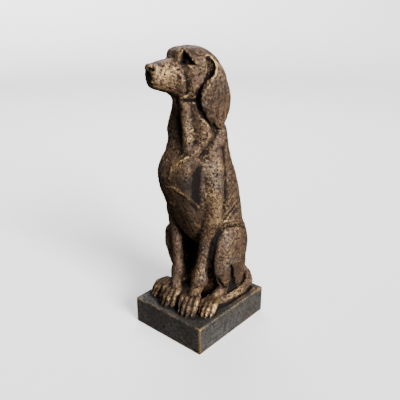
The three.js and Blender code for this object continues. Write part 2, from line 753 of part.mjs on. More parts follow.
// The dog, cut off flat just inside the plinth
function dogGeometry() {
  const clay = new Clay(lattice);
  modelTrunk(clay);
  stances.forEach((stance) => modelForeleg(clay, stance));
  stances.forEach((stance) => modelHindleg(clay, stance));
  clay.carve(ownChain(leftElbowGap), blends.elbowGap);
  clay.add(sideChain(tail, 1), blends.tail);
  modelHead(clay);
  stances.forEach(({ side }) => modelFace(clay, side));
  stances.forEach(({ side }) => modelEar(clay, side));
  clay.add(sideChain(tailRidge, 1), blends.tailRidge);
  const floor = plinth.height - sunkDepth;
  const below = new THREE.Box3(clay.low.clone(), new THREE.Vector3(...lattice.high).setZ(floor));
  clay.work({ box: below, distance: (point) => floor - point.z }, 0, Math.max);
  const surface = simplified(evened(surfaceOf(clay), evening), dogFacets);
  surface.points.forEach((point) => keepClear(point));
  return meshGeometry(surface);
}

const casting = toSolid(dogGeometry()).add(toSolid(plinthGeometry(plinth)));
const bronzePatina = new THREE.MeshStandardMaterial({
  color: finish.colour,
  roughness: finish.roughness,
  metalness: finish.metalness,
});
const dog = new THREE.Mesh(fromSolid(casting), bronzePatina);
dog.name = 'hunting_dog';

const sculpture = new THREE.Group();
sculpture.add(dog);

export default sculpture;
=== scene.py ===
# %% [markdown]
# # A seated hunting dog in bronze-coloured resin
#
# The object is a shelf ornament: a short-haired hunting dog that sits on a block. Dog and block came out of
# one mould, so there is a single piece to make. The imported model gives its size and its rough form. This
# script models the same form again, finer, and adds what a caster and a painter add: skin folds, claws,
# pits and patina.
#
# Sizes are in millimetres until the mesh is made. Blender's own unit here is the metre.

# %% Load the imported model
import math
import random

import bmesh
import bpy
import numpy as np
from mathutils import Matrix, Vector, kdtree, noise


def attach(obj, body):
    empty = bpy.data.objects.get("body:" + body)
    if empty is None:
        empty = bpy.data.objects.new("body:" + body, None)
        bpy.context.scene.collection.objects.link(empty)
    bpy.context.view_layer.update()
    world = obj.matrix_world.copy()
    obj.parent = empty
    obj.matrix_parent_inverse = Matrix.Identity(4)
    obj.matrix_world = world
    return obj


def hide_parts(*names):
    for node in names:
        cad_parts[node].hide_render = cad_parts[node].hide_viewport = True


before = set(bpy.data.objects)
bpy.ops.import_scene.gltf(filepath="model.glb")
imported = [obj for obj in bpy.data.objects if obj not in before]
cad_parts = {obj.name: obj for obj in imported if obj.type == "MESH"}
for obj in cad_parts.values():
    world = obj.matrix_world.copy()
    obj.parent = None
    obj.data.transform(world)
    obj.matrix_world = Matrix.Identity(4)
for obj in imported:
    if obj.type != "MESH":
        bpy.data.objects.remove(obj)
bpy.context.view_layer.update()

# %% [markdown]
# ## Clay
#
# A sculptor builds such a dog from lumps of clay that run into each other. A mesh of separate balls and
# tubes would show every joint, and pulling vertices by hand can't be repeated. Here the clay is a field: a
# lattice of points that each know how far they are from the surface, negative inside. Adding a lump takes
# the smaller of two distances, carving takes the larger, and a blend width rounds the seam between them.

# %% Melt one lump into another
def melt(old, new, blend):
    """The smaller of two distances, with the crease between them filled over the blend's width."""
    overlap = np.maximum(blend - np.abs(old - new), 0) / blend
    return np.minimum(old, new) - overlap * overlap * (blend / 4)


# %% The clay lattice
REACH = 7.0  # a mass changes the field this far around itself
FAR = 15.0  # the distance that empty lattice points start from
LAST_CELL = 1.001  # keeps a sampled place just inside the last lattice point


class Clay:
    """Distances to a surface on a lattice. A mass is a distance function with its two outer corners."""

    def __init__(self, low, high, spacing):
        self.low = np.array(low, float)
        self.spacing = spacing
        self.axes = [np.arange(start, end, spacing, dtype=np.float32) for start, end in zip(low, high)]
        self.field = np.full([len(axis) for axis in self.axes], FAR, np.float32)

    def combine(self, mass, blend, carve):
        distance, low, high = mass
        margin = blend + REACH
        part = tuple(
            slice(np.searchsorted(axis, start - margin), np.searchsorted(axis, end + margin))
            for axis, start, end in zip(self.axes, low, high)
        )
        ranges = [axis[span] for axis, span in zip(self.axes, part)]
        new = distance(*np.meshgrid(*ranges, indexing="ij", sparse=True)).astype(np.float32)
        old = self.field[part]
        self.field[part] = -melt(-old, new, blend) if carve else melt(old, new, blend)

    def add(self, mass, blend):
        self.combine(mass, blend, carve=False)

    def carve(self, mass, blend):
        self.combine(mass, blend, carve=True)

    def report(self, name):
        print(name + ":", int((self.field < 0).sum()), "lattice points inside")

    def sample(self, points, field=None):
        """The field's value at any points, mixed from the eight lattice points around each."""
        field = self.field if field is None else field
        places = (np.asarray(points, float) - self.low) / self.spacing
        places = np.clip(places, 0, np.array(field.shape) - LAST_CELL)
        cell = places.astype(int)
        part = places - cell
        total = np.zeros(len(places))
        for corner in np.ndindex(2, 2, 2):
            weight = np.prod(np.where(corner, part, 1 - part), axis=1)
            total += weight * field[tuple((cell + corner).T)]
        return total


# %% [markdown]
# ## The masses
#
# Three kinds of mass make nearly the whole animal. A chain of balls with tapers between them makes legs,
# toes and tail. An egg makes a thigh or a cheek. A loft, a stack of rounded sections, makes the trunk, the
# skull and the thin ears.

# %% Chain
STEEPEST_TAPER = 0.99


def chain(points, radii):
    points = np.array(points, float)
    widest = max(radii)

    def distance(x, y, z):
        nearest = np.float32(np.inf)
        for start, end, wide, narrow in zip(points[:-1], points[1:], radii[:-1], radii[1:]):
            axis = end - start
            length = np.linalg.norm(axis)
            taper = np.clip((wide - narrow) / length, -STEEPEST_TAPER, STEEPEST_TAPER)
            lead = taper / math.sqrt(1 - taper * taper) / length
            px, py, pz = x - start[0], y - start[1], z - start[2]
            along = (px * axis[0] + py * axis[1] + pz * axis[2]) / length**2
            across = np.sqrt(np.maximum(px * px + py * py + pz * pz - (along * length) ** 2, 0))
            foot = np.clip(along - across * lead, 0, 1)
            dx, dy, dz = px - foot * axis[0], py - foot * axis[1], pz - foot * axis[2]
            gap = np.sqrt(dx * dx + dy * dy + dz * dz) - (wide + (narrow - wide) * foot)
            nearest = np.minimum(nearest, gap)
        return nearest

    return distance, points.min(0) - widest, points.max(0) + widest


# %% Egg
TINY = 1e-9  # keeps a division from failing at the very middle


def local(axes, middle, x, y, z):
    """Offsets from middle along three axes, the columns of a matrix."""
    px, py, pz = x - middle[0], y - middle[1], z - middle[2]
    return [px * axis[0] + py * axis[1] + pz * axis[2] for axis in np.array(axes).T]


def egg(middle, radii, axes=np.eye(3)):
    middle = np.array(middle, float)

    def distance(x, y, z):
        offsets = local(axes, middle, x, y, z)
        scaled = np.sqrt(sum((offset / radius) ** 2 for offset, radius in zip(offsets, radii)))
        slope = np.sqrt(sum((offset / radius**2) ** 2 for offset, radius in zip(offsets, radii)))
        return scaled * (scaled - 1) / (slope + TINY)

    return distance, middle - max(radii), middle + max(radii)


# %% Loft
LOFT_STEPS = 300


def smooth_curve(at, places, values):
    """A curve through values, as steep at each one as the line between its neighbours."""
    slopes = np.gradient(values, places)
    slopes[1:-1] = (values[2:] - values[:-2]) / (places[2:] - places[:-2])
    index = np.clip(np.searchsorted(places, at) - 1, 0, len(places) - 2)
    gap = places[index + 1] - places[index]
    t = (at - places[index]) / gap
    rise = values[index] * (1 + 2 * t) * (1 - t) ** 2 + values[index + 1] * t * t * (3 - 2 * t)
    return rise + gap * (slopes[index] * t * (1 - t) ** 2 - slopes[index + 1] * t * t * (1 - t))


def loft(middle, axes, sections, squareness):
    """Sections are rows of place along the third axis, front, back, side shift and half width."""
    middle = np.array(middle, float)
    axes = np.array(axes, float)
    rows = np.array(sections, float)
    places = rows[:, 0]
    table = np.linspace(places[0], places[-1], LOFT_STEPS)
    curves = [smooth_curve(table, places, column) for column in rows[:, 1:].T]
    corners = [
        middle + axes @ (depth, side + sign * half, at)
        for at, front, back, side, half in rows
        for depth in (front, back)
        for sign in (-1, 1)
    ]

    def distance(x, y, z):
        depth, across, along = local(axes, middle, x, y, z)
        front, back, side, half = [np.interp(along, table, curve) for curve in curves]
        half_depth = np.abs(front - back) / 2
        u = np.abs(depth - (front + back) / 2) / half_depth
        v = np.abs(across - side) / half
        rim = ((u**squareness + v**squareness) ** (1 / squareness) - 1) * np.minimum(half_depth, half)
        past_end = np.maximum(places[0] - along, along - places[-1])
        beyond = np.hypot(np.maximum(rim, 0), past_end)
        return np.where(past_end > 0, beyond, np.maximum(rim, past_end))

    return distance, np.min(corners, axis=0), np.max(corners, axis=0)


# %% [markdown]
# ## The dog's plan
#
# The dog faces -Y, and its left is +X. Its head is turned twenty degrees to its right, so the head has
# directions of its own: ahead, across to the left, and up. The right side mirrors the left, except that each
# foot has its own place on the block, as on the real piece.

# %% Head directions and mirror helpers
SIDES = (1, -1)  # the dog's left, then its right
SKULL_MIDDLE = np.array((0, -12, 277.0))
HEAD_TURN = math.radians(20)
AHEAD = np.array((-math.sin(HEAD_TURN), -math.cos(HEAD_TURN), 0))
LEFTWARD = np.array((math.cos(HEAD_TURN), -math.sin(HEAD_TURN), 0))
UP = np.array((0, 0, 1.0))
HEAD_AXES = np.stack([AHEAD, LEFTWARD, UP], axis=1)
ALONG_HEAD = np.stack([UP, LEFTWARD, AHEAD], axis=1)
ALONG_BODY = np.array(((0, 1, 0), (1, 0, 0), (0, 0, 1.0)))


def on_head(ahead, across, above):
    return SKULL_MIDDLE + HEAD_AXES @ (ahead, across, above)


def head_route(points, side=1):
    return [on_head(ahead, across * side, above) for ahead, across, above in points]


def body_route(points, side=1):
    return [(x * side, y, z) for x, y, z in points]


def turned(angle_deg, about):
    return np.array(Matrix.Rotation(math.radians(angle_deg), 3, about))


# %% [markdown]
# ## Trunk and neck
#
# The trunk is one loft from the rump to the nape, with a second one in front for the deep breast and the
# throat. Two bands run from the corners of the jaw to the breastbone and give the neck its squarish front,
# and a chain on each side fills the neck below the ear.

# %% Model the trunk
SPACING = 0.9
LOW_CORNER = (-55, -67, -5)
HIGH_CORNER = (55, 64, 306)
clay = Clay(LOW_CORNER, HIGH_CORNER, SPACING)
RIBCAGE = [
    (29, -3, 44, 0, 31), (68, 2, 51.3, 0, 34.5), (98, -2, 49.7, 0, 33), (134, -18, 45.3, 0, 34),
    (168, -23, 36.3, 0, 32.7), (190, -23, 28, 0, 29.4), (204, -23, 24.4, 0, 27),
    (236, -23, 16.4, 0, 21), (270, -24, 7, 0, 19),
]
BREAST = [
    (92, -3, 9, 0, 6), (106, -15.5, 10, 0, 16), (124, -26.5, 8, 0, 22.2), (150, -39.5, 5, 0, 26.5),
    (176, -46.8, 3, 0, 27), (191, -43, 1.5, 0, 25.4), (204, -34.4, 0, 0, 20.6),
    (234, -30.2, 0, 0, 17.6), (268, -27.8, 0, 0, 16.5),
]
ORIGIN = (0, 0, 0)
clay.add(loft(ORIGIN, ALONG_BODY, RIBCAGE, squareness=2.35), blend=1)
clay.add(loft(ORIGIN, ALONG_BODY, BREAST, squareness=2.8), blend=3)
clay.report("trunk")


# %% Model the neck
def tube(route, radii, blend):
    clay.add(chain(route, radii), blend)


LEFT_BAND = [on_head(14, 11.5, -24), (11, -29, 198)]
RIGHT_BAND = [on_head(7, -10, -24), (-9, -24.5, 200)]
THROAT = [on_head(18, 0, -21), (-1, -26, 238)]
tube(LEFT_BAND, [5.6, 5.2], blend=2.5)
tube(RIGHT_BAND, [5.6, 5], blend=2.5)
tube(THROAT, [4.6, 3], blend=6)
for side in SIDES:
    neck_side = [on_head(1, 14.5 * side, -26), (18.5 * side, -17, 218), (16.5 * side, -13, 196)]
    tube(neck_side, [9.8, 8.4, 5], blend=5)
clay.report("trunk and neck")

# %% [markdown]
# ## Legs, paws and tail
#
# A seated dog's forelegs stand straight under the breast, and its hind legs fold beside the belly. Every
# limb is made of chains that run through its joints, so no beads show there. Toes join with hardly any
# blend, which keeps the grooves between them.

# %% Paws
TOE_PLACES = (-1.5, -0.5, 0.5, 1.5)
FORE_TOES = {
    "joints": ((19, 46.5), (10.5, 44.5), (3.2, 39.2), (0.4, 33.5)),
    "spreads": (3.6, 5.4, 5.4, 5.2),
    "radii": (3.2, 3.6, 3.4, 2.8),
}
HIND_TOES = {
    "joints": ((23, 41), (11, 40.5), (3, 37.4), (0.4, 33.5)),
    "spreads": (3.2, 4.5, 4.5, 4.4),
    "radii": (3, 3.3, 3.1, 2.7),
}
OUTER_SETBACK = 2.8
toe_tips = []


def model_toes(toes, paw, longest, turn):
    """Four toes fan out from the paw's root. Joints are places behind the longest toe, and heights."""
    rotation = turned(turn, "Z")
    root_back = toes["joints"][0][0]
    for place in TOE_PLACES:
        setback = abs(place) * OUTER_SETBACK
        setbacks = (0, 0, setback, setback)
        route = [
            rotation @ (place * spread, back + behind - root_back, height) + (paw, longest + root_back, 0)
            for (back, height), spread, behind in zip(toes["joints"], toes["spreads"], setbacks)
        ]
        tube(route, toes["radii"], blend=0.7)
        toe_tips.append((route[-1], rotation @ (0, -1, 0)))


# %% Forelegs
def cut(route, radii, blend):
    clay.carve(chain(route, radii), blend)


ARM = [(25.5, -10, 184), (26.3, -11, 160), (25.5, -10, 130)]
SHOULDER = [(17, 5, 216), ARM[0]]
ARM_GROOVE = [
    (27, -15, 211), (27, -28.5, 198), (29.2, -34.5, 183), (28.8, -35.5, 167),
    (27.2, -35.5, 151), (23.5, -32, 134), (17.5, -26.5, 114),
]
ARM_BACK = [(32, 0, 203), (36.5, -1, 184), (38, -1, 162), (38, -1, 142), (37.5, 0, 128)]
BREAST_MUSCLE = [(12, -34, 197), (17, -28, 203), (22, -14, 217)]


def model_foreleg(side, forearm, thickness, wrist_radii, paw, turn, reach, muscle):
    tube(body_route(SHOULDER, side), [8.5, 11.5], blend=9)
    tube(body_route(ARM, side), [11.5, 11.8, 10.5], blend=3)
    tube(forearm, thickness, blend=3)
    clay.add(egg(forearm[-1], wrist_radii), blend=3)
    pastern = [forearm[-1], (paw, -29.5, 45.5)]
    tube(pastern, [thickness[-1], 6.4], blend=3)
    model_toes(FORE_TOES, paw, reach, turn)
    cut(body_route(ARM_GROOVE, side), [0.6, 4, 8.1, 8.7, 9, 6.8, 2.4], blend=5)
    cut(body_route(ARM_BACK, side), [1.5, 2.6, 3, 3, 2.6], blend=8)
    tube(body_route(BREAST_MUSCLE, side), muscle, blend=3)


LEFT_FOREARM = [(25.5, -10, 130), (21, -14, 107.4), (19, -18.5, 84), (18.8, -22.5, 64.6)]
RIGHT_FOREARM = [(-25.5, -10, 130), (-23, -14.5, 103), (-17.5, -18, 84.6), (-13.5, -21.5, 63)]
model_foreleg(
    1, LEFT_FOREARM, thickness=[10, 7.4, 6.4, 7.4], wrist_radii=(8.2, 8.2, 10),
    paw=15, turn=11, reach=-47.5, muscle=[2.6, 3.8, 4.4],
)
model_foreleg(
    -1, RIGHT_FOREARM, thickness=[9.5, 6.4, 6, 6.6], wrist_radii=(6.8, 6.8, 9),
    paw=-10.5, turn=0, reach=-47, muscle=[2, 2.8, 4],
)
print("forelegs:", len(toe_tips), "toes")

# %% Hind legs
HOCK = [(29, 26, 69), (29.5, 26.7, 56), (28.5, 27, 42)]
HOCK_SLIT = [(40.5, 3, 77), (39.5, 8.2, 61.4), (38, 13.1, 46)]
FLANK_CREASE = [(33, 33, 137), (36, 17, 134), (36, 3, 125)]
HIND_FOOT = [(27, 26, 37), (28, 8, 37), (29, -10, 41)]
LEFT_ELBOW_GAP = [
    (31.5, -8.5, 120), (30, -11.5, 111), (29, -13.5, 102), (28, -15.5, 92),
    (28, -16.5, 82), (27.6, -15.5, 71), (26.5, -12, 60),
]
THIGH_RADII = (14, 28, 37)
RUMP_RADII = (12.5, 11, 16)


def model_hind_leg(side, drop, shin, thickness, paw, turn, reach):
    """Drop is how far the thigh sits below the left one."""
    clay.add(egg((28 * side, 13.5, 88 - drop), THIGH_RADII, turned(-16, "X")), blend=4)
    tube(shin, thickness, blend=4)
    tube(body_route(HOCK, side), [10, 8, 5.5], blend=4)
    clay.add(egg((18 * side, 36, 40), RUMP_RADII), blend=5)
    tube(body_route(HIND_FOOT, side), [6, 5.6, 4.8], blend=3)
    tube([shin[-1], (29 * side, -8, 42)], [5, 4.8], blend=3)
    model_toes(HIND_TOES, paw, reach, turn)
    cut(body_route(HOCK_SLIT, side), [1.6, 2.8, 4], blend=1.5)
    cut(body_route(FLANK_CREASE, side), [1.4, 2.8, 2.2], blend=2.5)


LEFT_SHIN = [(33, 4, 102), (32, -0.5, 81), (31, 0.5, 64), (29.5, 3.6, 48)]
RIGHT_SHIN = [(-33, -6, 98), (-32.5, -8, 86), (-30.5, -7, 70), (-27, -4, 50)]
model_hind_leg(1, 0, LEFT_SHIN, thickness=[9.5, 8.6, 7.6, 5], paw=29.5, turn=14, reach=-35.5)
model_hind_leg(-1, 3.5, RIGHT_SHIN, thickness=[10.5, 9.5, 7, 5.5], paw=-32, turn=-4, reach=-38.5)
cut(LEFT_ELBOW_GAP, [2.2, 3.6, 3.6, 3.2, 3.2, 3.4, 3.6], blend=2.5)
print("all legs:", len(toe_tips), "toes")

# %% Tail
TAIL = [
    (4, 44, 56), (16, 50, 49), (27, 50.3, 43.2), (34.5, 44, 39.3),
    (37, 30, 36.5), (37, 16, 36), (35, 3, 35.5), (32, -7, 35),
]
RIGHT_HEEL = (-24, 9, 42)
clay.add(egg(RIGHT_HEEL, radii=(7, 7, 7)), blend=2)
tube(TAIL, [8, 6.2, 5.3, 5, 4.8, 4.6, 4.3, 4], blend=1.5)
clay.report("body with tail")

# %% [markdown]
# ## Head
#
# Skull and muzzle are lofts along the head's own axis. The sockets are cut deep under a slanting brow, and
# the eyeball sits far back, so that the eye reads as a dark triangle. A recess with flat sides does this,
# because the brow's edge is crisp on the real piece. The ears hang as thin lofts that flare outward in
# front, and the hollow along that edge is carved afterwards.

# %% Skull, muzzle and nose
SKULL = [
    (-31, -4, -8, 0, 3), (-24.5, 8, -20, 0, 14.3), (-10, 19.4, -25, 0, 21),
    (6, 21.6, -25, 0, 21), (18, 18.8, -23, 0, 17), (23, 12.8, -21, 0, 12.5),
]
MUZZLE = [
    (8, 10, -24, 0, 14), (24, 11, -20.5, 0, 12.8), (36, 8.6, -16.8, 0, 12),
    (41.8, 6.4, -14.8, 0, 10.8), (44.8, 2.8, -11, 0, 8),
]
CHEEK_RADII = (17, 7.8, 14)
BROW_RADII = (7, 6, 6)
NOSE_RADII = (4.4, 6.2, 4.2)
clay.add(loft(SKULL_MIDDLE, ALONG_HEAD, SKULL, squareness=2.6), blend=4)
clay.add(loft(SKULL_MIDDLE, ALONG_HEAD, MUZZLE, squareness=2.8), blend=3)
for side in SIDES:
    clay.add(egg(on_head(2, 13 * side, -10), CHEEK_RADII, HEAD_AXES), blend=5)
    clay.add(egg(on_head(14, 8.5 * side, 13.6), BROW_RADII, HEAD_AXES), blend=4)
clay.add(egg(on_head(43, 0, 3.6), NOSE_RADII, HEAD_AXES), blend=1.2)
clay.report("skull and muzzle")


# %% Eyes, nostrils and cheeks
def recess(corners, outward, depth):
    """A hole with a flat floor and flat sides, which opens outward."""
    corners = np.array(corners, float)
    outward = np.array(outward, float) / np.linalg.norm(outward)
    middle = corners.mean(0)
    sides = []
    for corner, following in zip(corners, np.roll(corners, -1, axis=0)):
        normal = np.cross(following - corner, outward)
        normal /= np.linalg.norm(normal)
        sides.append((corner, normal if normal @ (middle - corner) < 0 else -normal))

    def distance(x, y, z):
        farthest = -depth - local(outward[:, None], middle, x, y, z)[0]
        for corner, normal in sides:
            farthest = np.maximum(farthest, local(normal[:, None], corner, x, y, z)[0])
        return farthest

    return distance, corners.min(0) - depth, corners.max(0) + depth


EYE_CORNERS = [(14.4, 10.6, 19), (6.6, 19.7, 6.1), (18.8, 13.2, 6.8)]
NOSTRIL = [(45.5, 3.6, 3.2), (42.5, 7.2, 2.2)]
CHEEK_GROOVE = [(17, 18, 2), (15, 20, -8), (15, 19, -16)]
EYEBALL_RADII = (3.2, 3.2, 3.2)
TEAR_HOLLOW_RADII = (4, 3.4, 8)
for side in SIDES:
    eye_facing = HEAD_AXES @ (0.5, 0.86 * side, 0.05)
    clay.carve(recess(head_route(EYE_CORNERS, side), eye_facing, depth=6), blend=2)
    clay.add(egg(on_head(10, 10.4 * side, 8.6), EYEBALL_RADII), blend=0.4)
    cut(head_route(NOSTRIL, side), [1.4, 1.1], blend=0.6)
    cut(head_route(CHEEK_GROOVE, side), [2.2, 2.4, 1.8], blend=6)
    clay.carve(egg(on_head(20.5, 16.5 * side, 9), TEAR_HOLLOW_RADII, HEAD_AXES), blend=4)
clay.report("face")

# %% Ears
EAR = [
    (-54, -9, -13.5, 25, 3), (-45, 1.2, -20.8, 25.2, 3.8), (-28, 14.6, -26, 25.4, 4.5),
    (-13, 10.8, -21.8, 24.8, 4.6), (1, -2.2, -17.2, 22.7, 4.2), (14, 2, -6, 18, 2.5),
]
EAR_FLARE = 18
EAR_HOLLOW = [
    (-6, 19.6, 11), (-9, 20, 5), (-8, 20, -2), (-1.5, 20.4, -13), (5, 21.5, -20), (7.5, 23, -28),
    (3, 24.4, -38), (-4, 24, -47), (-10, 23, -54),
]
EAR_HOLLOW_RADII = [2, 3.9, 4.2, 3.5, 2.6, 2, 1.8, 1.7, 1.5]
for side in SIDES:
    ear_axes = turned(EAR_FLARE * side, "Z") @ HEAD_AXES
    sections = [(at, front, back, shift * side, half) for at, front, back, shift, half in EAR]
    clay.add(loft(SKULL_MIDDLE, ear_axes, sections, squareness=2.3), blend=2)
    # The head turns to its right, so on that side the last point would bore into the neck.
    count = len(EAR_HOLLOW) if side > 0 else len(EAR_HOLLOW) - 1
    cut(head_route(EAR_HOLLOW[:count], side), EAR_HOLLOW_RADII[:count], blend=1.2)
clay.report("ears")


# %% [markdown]
# ## Block
#
# The block is cast on, so it goes into the same field: paws and tail get a small fillet where the resin ran
# into the corner. A low ridge of resin follows the tail.

# %% Model the block
def block(middle, half_sizes, edge):
    middle = np.array(middle, float)

    def distance(x, y, z):
        offsets = local(np.eye(3), middle, x, y, z)
        past = [np.abs(offset) - half + edge for offset, half in zip(offsets, half_sizes)]
        outside = np.sqrt(sum(np.maximum(side, 0) ** 2 for side in past))
        inside = np.minimum(np.maximum(np.maximum(past[0], past[1]), past[2]), 0)
        return outside + inside - edge

    return distance, middle - half_sizes, middle + half_sizes


BLOCK_SIZE = np.array((93.6, 110.2, 31.0))
BLOCK_TOP = BLOCK_SIZE[2]
TAIL_RIDGE = [(41.5, 0, 30), (42, 20, 30), (41.5, 45, 30)]
clay.add(block((0, 0, BLOCK_TOP / 2), BLOCK_SIZE / 2, edge=1.4), blend=1.2)
tube(TAIL_RIDGE, [1.8, 2.6, 2], blend=1.2)
print("block:", BLOCK_SIZE, "mm")

# %% [markdown]
# ## Fine carving
#
# Folds, lids, lips and claws are what a sculptor adds with a wire tool, so they follow the surface. A route
# is given by a few points near the skin. Each point then slides along the field's slope until it lies at the
# wanted depth, and a thin chain along the route is added as a ridge or carved as a groove.

# %% Wire-tool helpers
SETTLE_ROUNDS = 8
SETTLE_SHARE = 0.8
FLATTEST = 1e-6


def settle(points, depth):
    """Move points along the slope of the field until they lie depth below the surface."""
    points = np.array(points, float)
    step = np.eye(3) * clay.spacing
    for _ in range(SETTLE_ROUNDS):
        slope = np.stack([clay.sample(points + d) - clay.sample(points - d) for d in step], axis=1)
        slope /= np.maximum(np.linalg.norm(slope, axis=1, keepdims=True), FLATTEST)
        points -= slope * (clay.sample(points) + depth)[:, None] * SETTLE_SHARE
    return points


def wire(points, depth, stride=2.5):
    """A route that follows the surface, with a point about every stride."""
    points = np.array(points, float)
    lengths = np.linalg.norm(np.diff(points, axis=0), axis=1)
    places = np.concatenate([[0], np.cumsum(lengths)])
    count = max(int(places[-1] / stride), 2) + 1
    even = np.linspace(0, places[-1], count)
    route = np.stack([smooth_curve(even, places, column) for column in points.T], axis=1)
    return settle(route, depth)


def tapered(count, radius, ends=0.45, fullness=0.6):
    return radius * (ends + (1 - ends) * np.sin(np.linspace(0, math.pi, count)) ** fullness)


def ridge(points, radius, depth=0.5, blend=1.4):
    route = wire(points, depth)
    tube(route, tapered(len(route), radius), blend)


def groove(points, radius, depth=-0.2, blend=0.8):
    route = wire(points, depth)
    cut(route, tapered(len(route), radius), blend)


# %% Folds of the breast and flank
COLLAR_FOLD = [(2, -43, 189), (8, -40, 193.6), (13, -37, 198), (18.5, -32, 202)]
BREASTBONE = [(1, -43, 189), (2, -45.4, 182), (1, -46, 170)]
BREAST_FOLD = [
    (-8, -45, 167.6), (1, -46, 169.4), (7, -45.6, 168.6), (16, -42.5, 164), (22, -36, 156), (23, -29, 146),
]
FLANK_FOLD = [(33, -8, 124), (34, 3.8, 126), (34, 15.8, 124.3), (32, 30, 118)]
THIGH_LINE = [(34, -3, 121), (35, 11, 119), (35, 22, 116), (34, 32.6, 107)]
LOIN_LINE = [(32, -6, 124), (34, 2, 130), (34.5, 10, 136), (33, 24, 141)]
RIB_LINE = [(33.5, 6, 140), (34, 15, 145), (33, 27, 148)]
ridge(COLLAR_FOLD, radius=1.7)
ridge(BREASTBONE, radius=1.4)
ridge(BREAST_FOLD, radius=2)
for side in SIDES:
    ridge(body_route(FLANK_FOLD, side), radius=2.2, depth=0.8)
    groove(body_route(THIGH_LINE, side), radius=1.6)
    groove(body_route(LOIN_LINE, side), radius=1.5, depth=0.1)
    groove(body_route(RIB_LINE, side), radius=0.9, depth=-0.1)
clay.report("folds")

# %% Gaps of the belly and legs
BELLY_FOLDS = [
    [(-10, -12, 106), (-8, -12, 97), (-6, -11, 88)],
    [(-3, -14, 106), (-1, -13, 97), (0, -12, 88)],
]
SLIT_FLOOR = [(38, 6, 71), (36, 9, 62), (32.5, 15.5, 52), (32, 17, 45)]
SHIN_CREASE = [(32.6, -9.5, 65), (32.2, -5.4, 57), (34.1, -1.7, 51), (35.6, 3, 49)]
for fold in BELLY_FOLDS:
    groove(fold, radius=1.4, depth=0.1)
groove(LEFT_ELBOW_GAP, radius=2.2, depth=0.5)
for side in SIDES:
    groove(body_route(HOCK_SLIT[:2], side), radius=1.7, depth=0.6)
    cut(body_route(SLIT_FLOOR, side), [1.8, 2.4, 3, 3.2], blend=1)
    groove(body_route(SHIN_CREASE, side), radius=1.6, depth=0.2)
clay.report("gaps")

# %% Face: brow, lips, nose and the ear's rim
LIP_LINE = [(45, 4, -8.6), (41, 9, -10), (34, 12, -13.2), (25, 12.8, -17), (17, 14.6, -20)]
MOUTH_CORNER = [(15.4, 14.8, -19.8), (13.6, 15.4, -19)]
LIP_FOLD = [(16.5, 14.6, -22.4), (12.8, 15.8, -21.6), (11, 16.2, -18.6)]
NOSTRIL_WING = [(41.4, 5.4, 6), (40, 8.4, 4.4), (41.6, 8, 1.4)]
BROW = [(14.6, 11.2, 20.4), (10.4, 16, 13.6), (5.4, 20.6, 6.4)]
EAR_RIM = [
    (-10, 21, 6.5), (-10, 23.4, -0.7), (-6, 26.6, -7), (-2, 28.4, -12),
    (3, 29.6, -18.5), (5, 29.6, -25.5), (1, 28.2, -35), (-3, 26.8, -42),
]
JAW_CREASE = [(19, 12.5, -25.5), (11, 16, -25.5), (5, 20, -25), (3, 22.5, -23)]
NOSE_CLEFT = [(47.4, 0, 2), (46.8, 0, -3), (46, 0, -8)]
for side in SIDES:
    groove(head_route(LIP_LINE, side), radius=0.8)
    groove(head_route(MOUTH_CORNER, side), radius=1.7, depth=-0.4)
    ridge(head_route(LIP_FOLD, side), radius=1.3)
    ridge(head_route(NOSTRIL_WING, side), radius=1.2, depth=0.4)
    ridge(head_route(BROW, side), radius=0.9, depth=0.3)
    ridge(head_route(EAR_RIM, side), radius=1.1, depth=0.6)
    groove(head_route(JAW_CREASE, side), radius=1.7, depth=-0.1)
groove(head_route(NOSE_CLEFT), radius=0.7)
clay.report("face carved")

# %% Claws, lips of resin in front of the toes, and lines along the tail
CLAW = ((1.6, 0.6), (3, -0.4), (4, -2))  # places ahead of the toe's tip and above it
CLAW_RADII = (1.5, 1.2, 0.5)
RESIN_LIP_AHEAD = 1.8
RESIN_LIP_BELOW = (0, 0, -3)
RESIN_LIP_RADII = (2.9, 2.9, 1.5)
TAIL_CREST = [(34, 44, 44), (37, 30, 41), (37, 16, 40.5), (35, 3, 39.6), (32, -6, 38.6)]
TAIL_LINE = [(39, 40, 42), (40.5, 28, 39), (40.4, 16, 38.6), (38.4, 4, 38)]
for tip, heading in toe_tips:
    claw = [tip + heading * ahead + (0, 0, above) for ahead, above in CLAW]
    tube(claw, CLAW_RADII, blend=0.3)
    clay.add(egg(tip + heading * RESIN_LIP_AHEAD + RESIN_LIP_BELOW, RESIN_LIP_RADII), blend=0.8)
ridge(TAIL_CREST, radius=1.2)
groove(TAIL_LINE, radius=0.8)
clay.report("fine carving")


# %% [markdown]
# ## From clay to a net
#
# The surface lies where the field changes sign. Each lattice cell that it crosses gets one vertex, at the
# mean of the crossings on its edges, and each crossed lattice edge gets one quad between the four cells
# around it. The result is an even net of small quads, which suits the noise that comes next better than long
# triangles would.

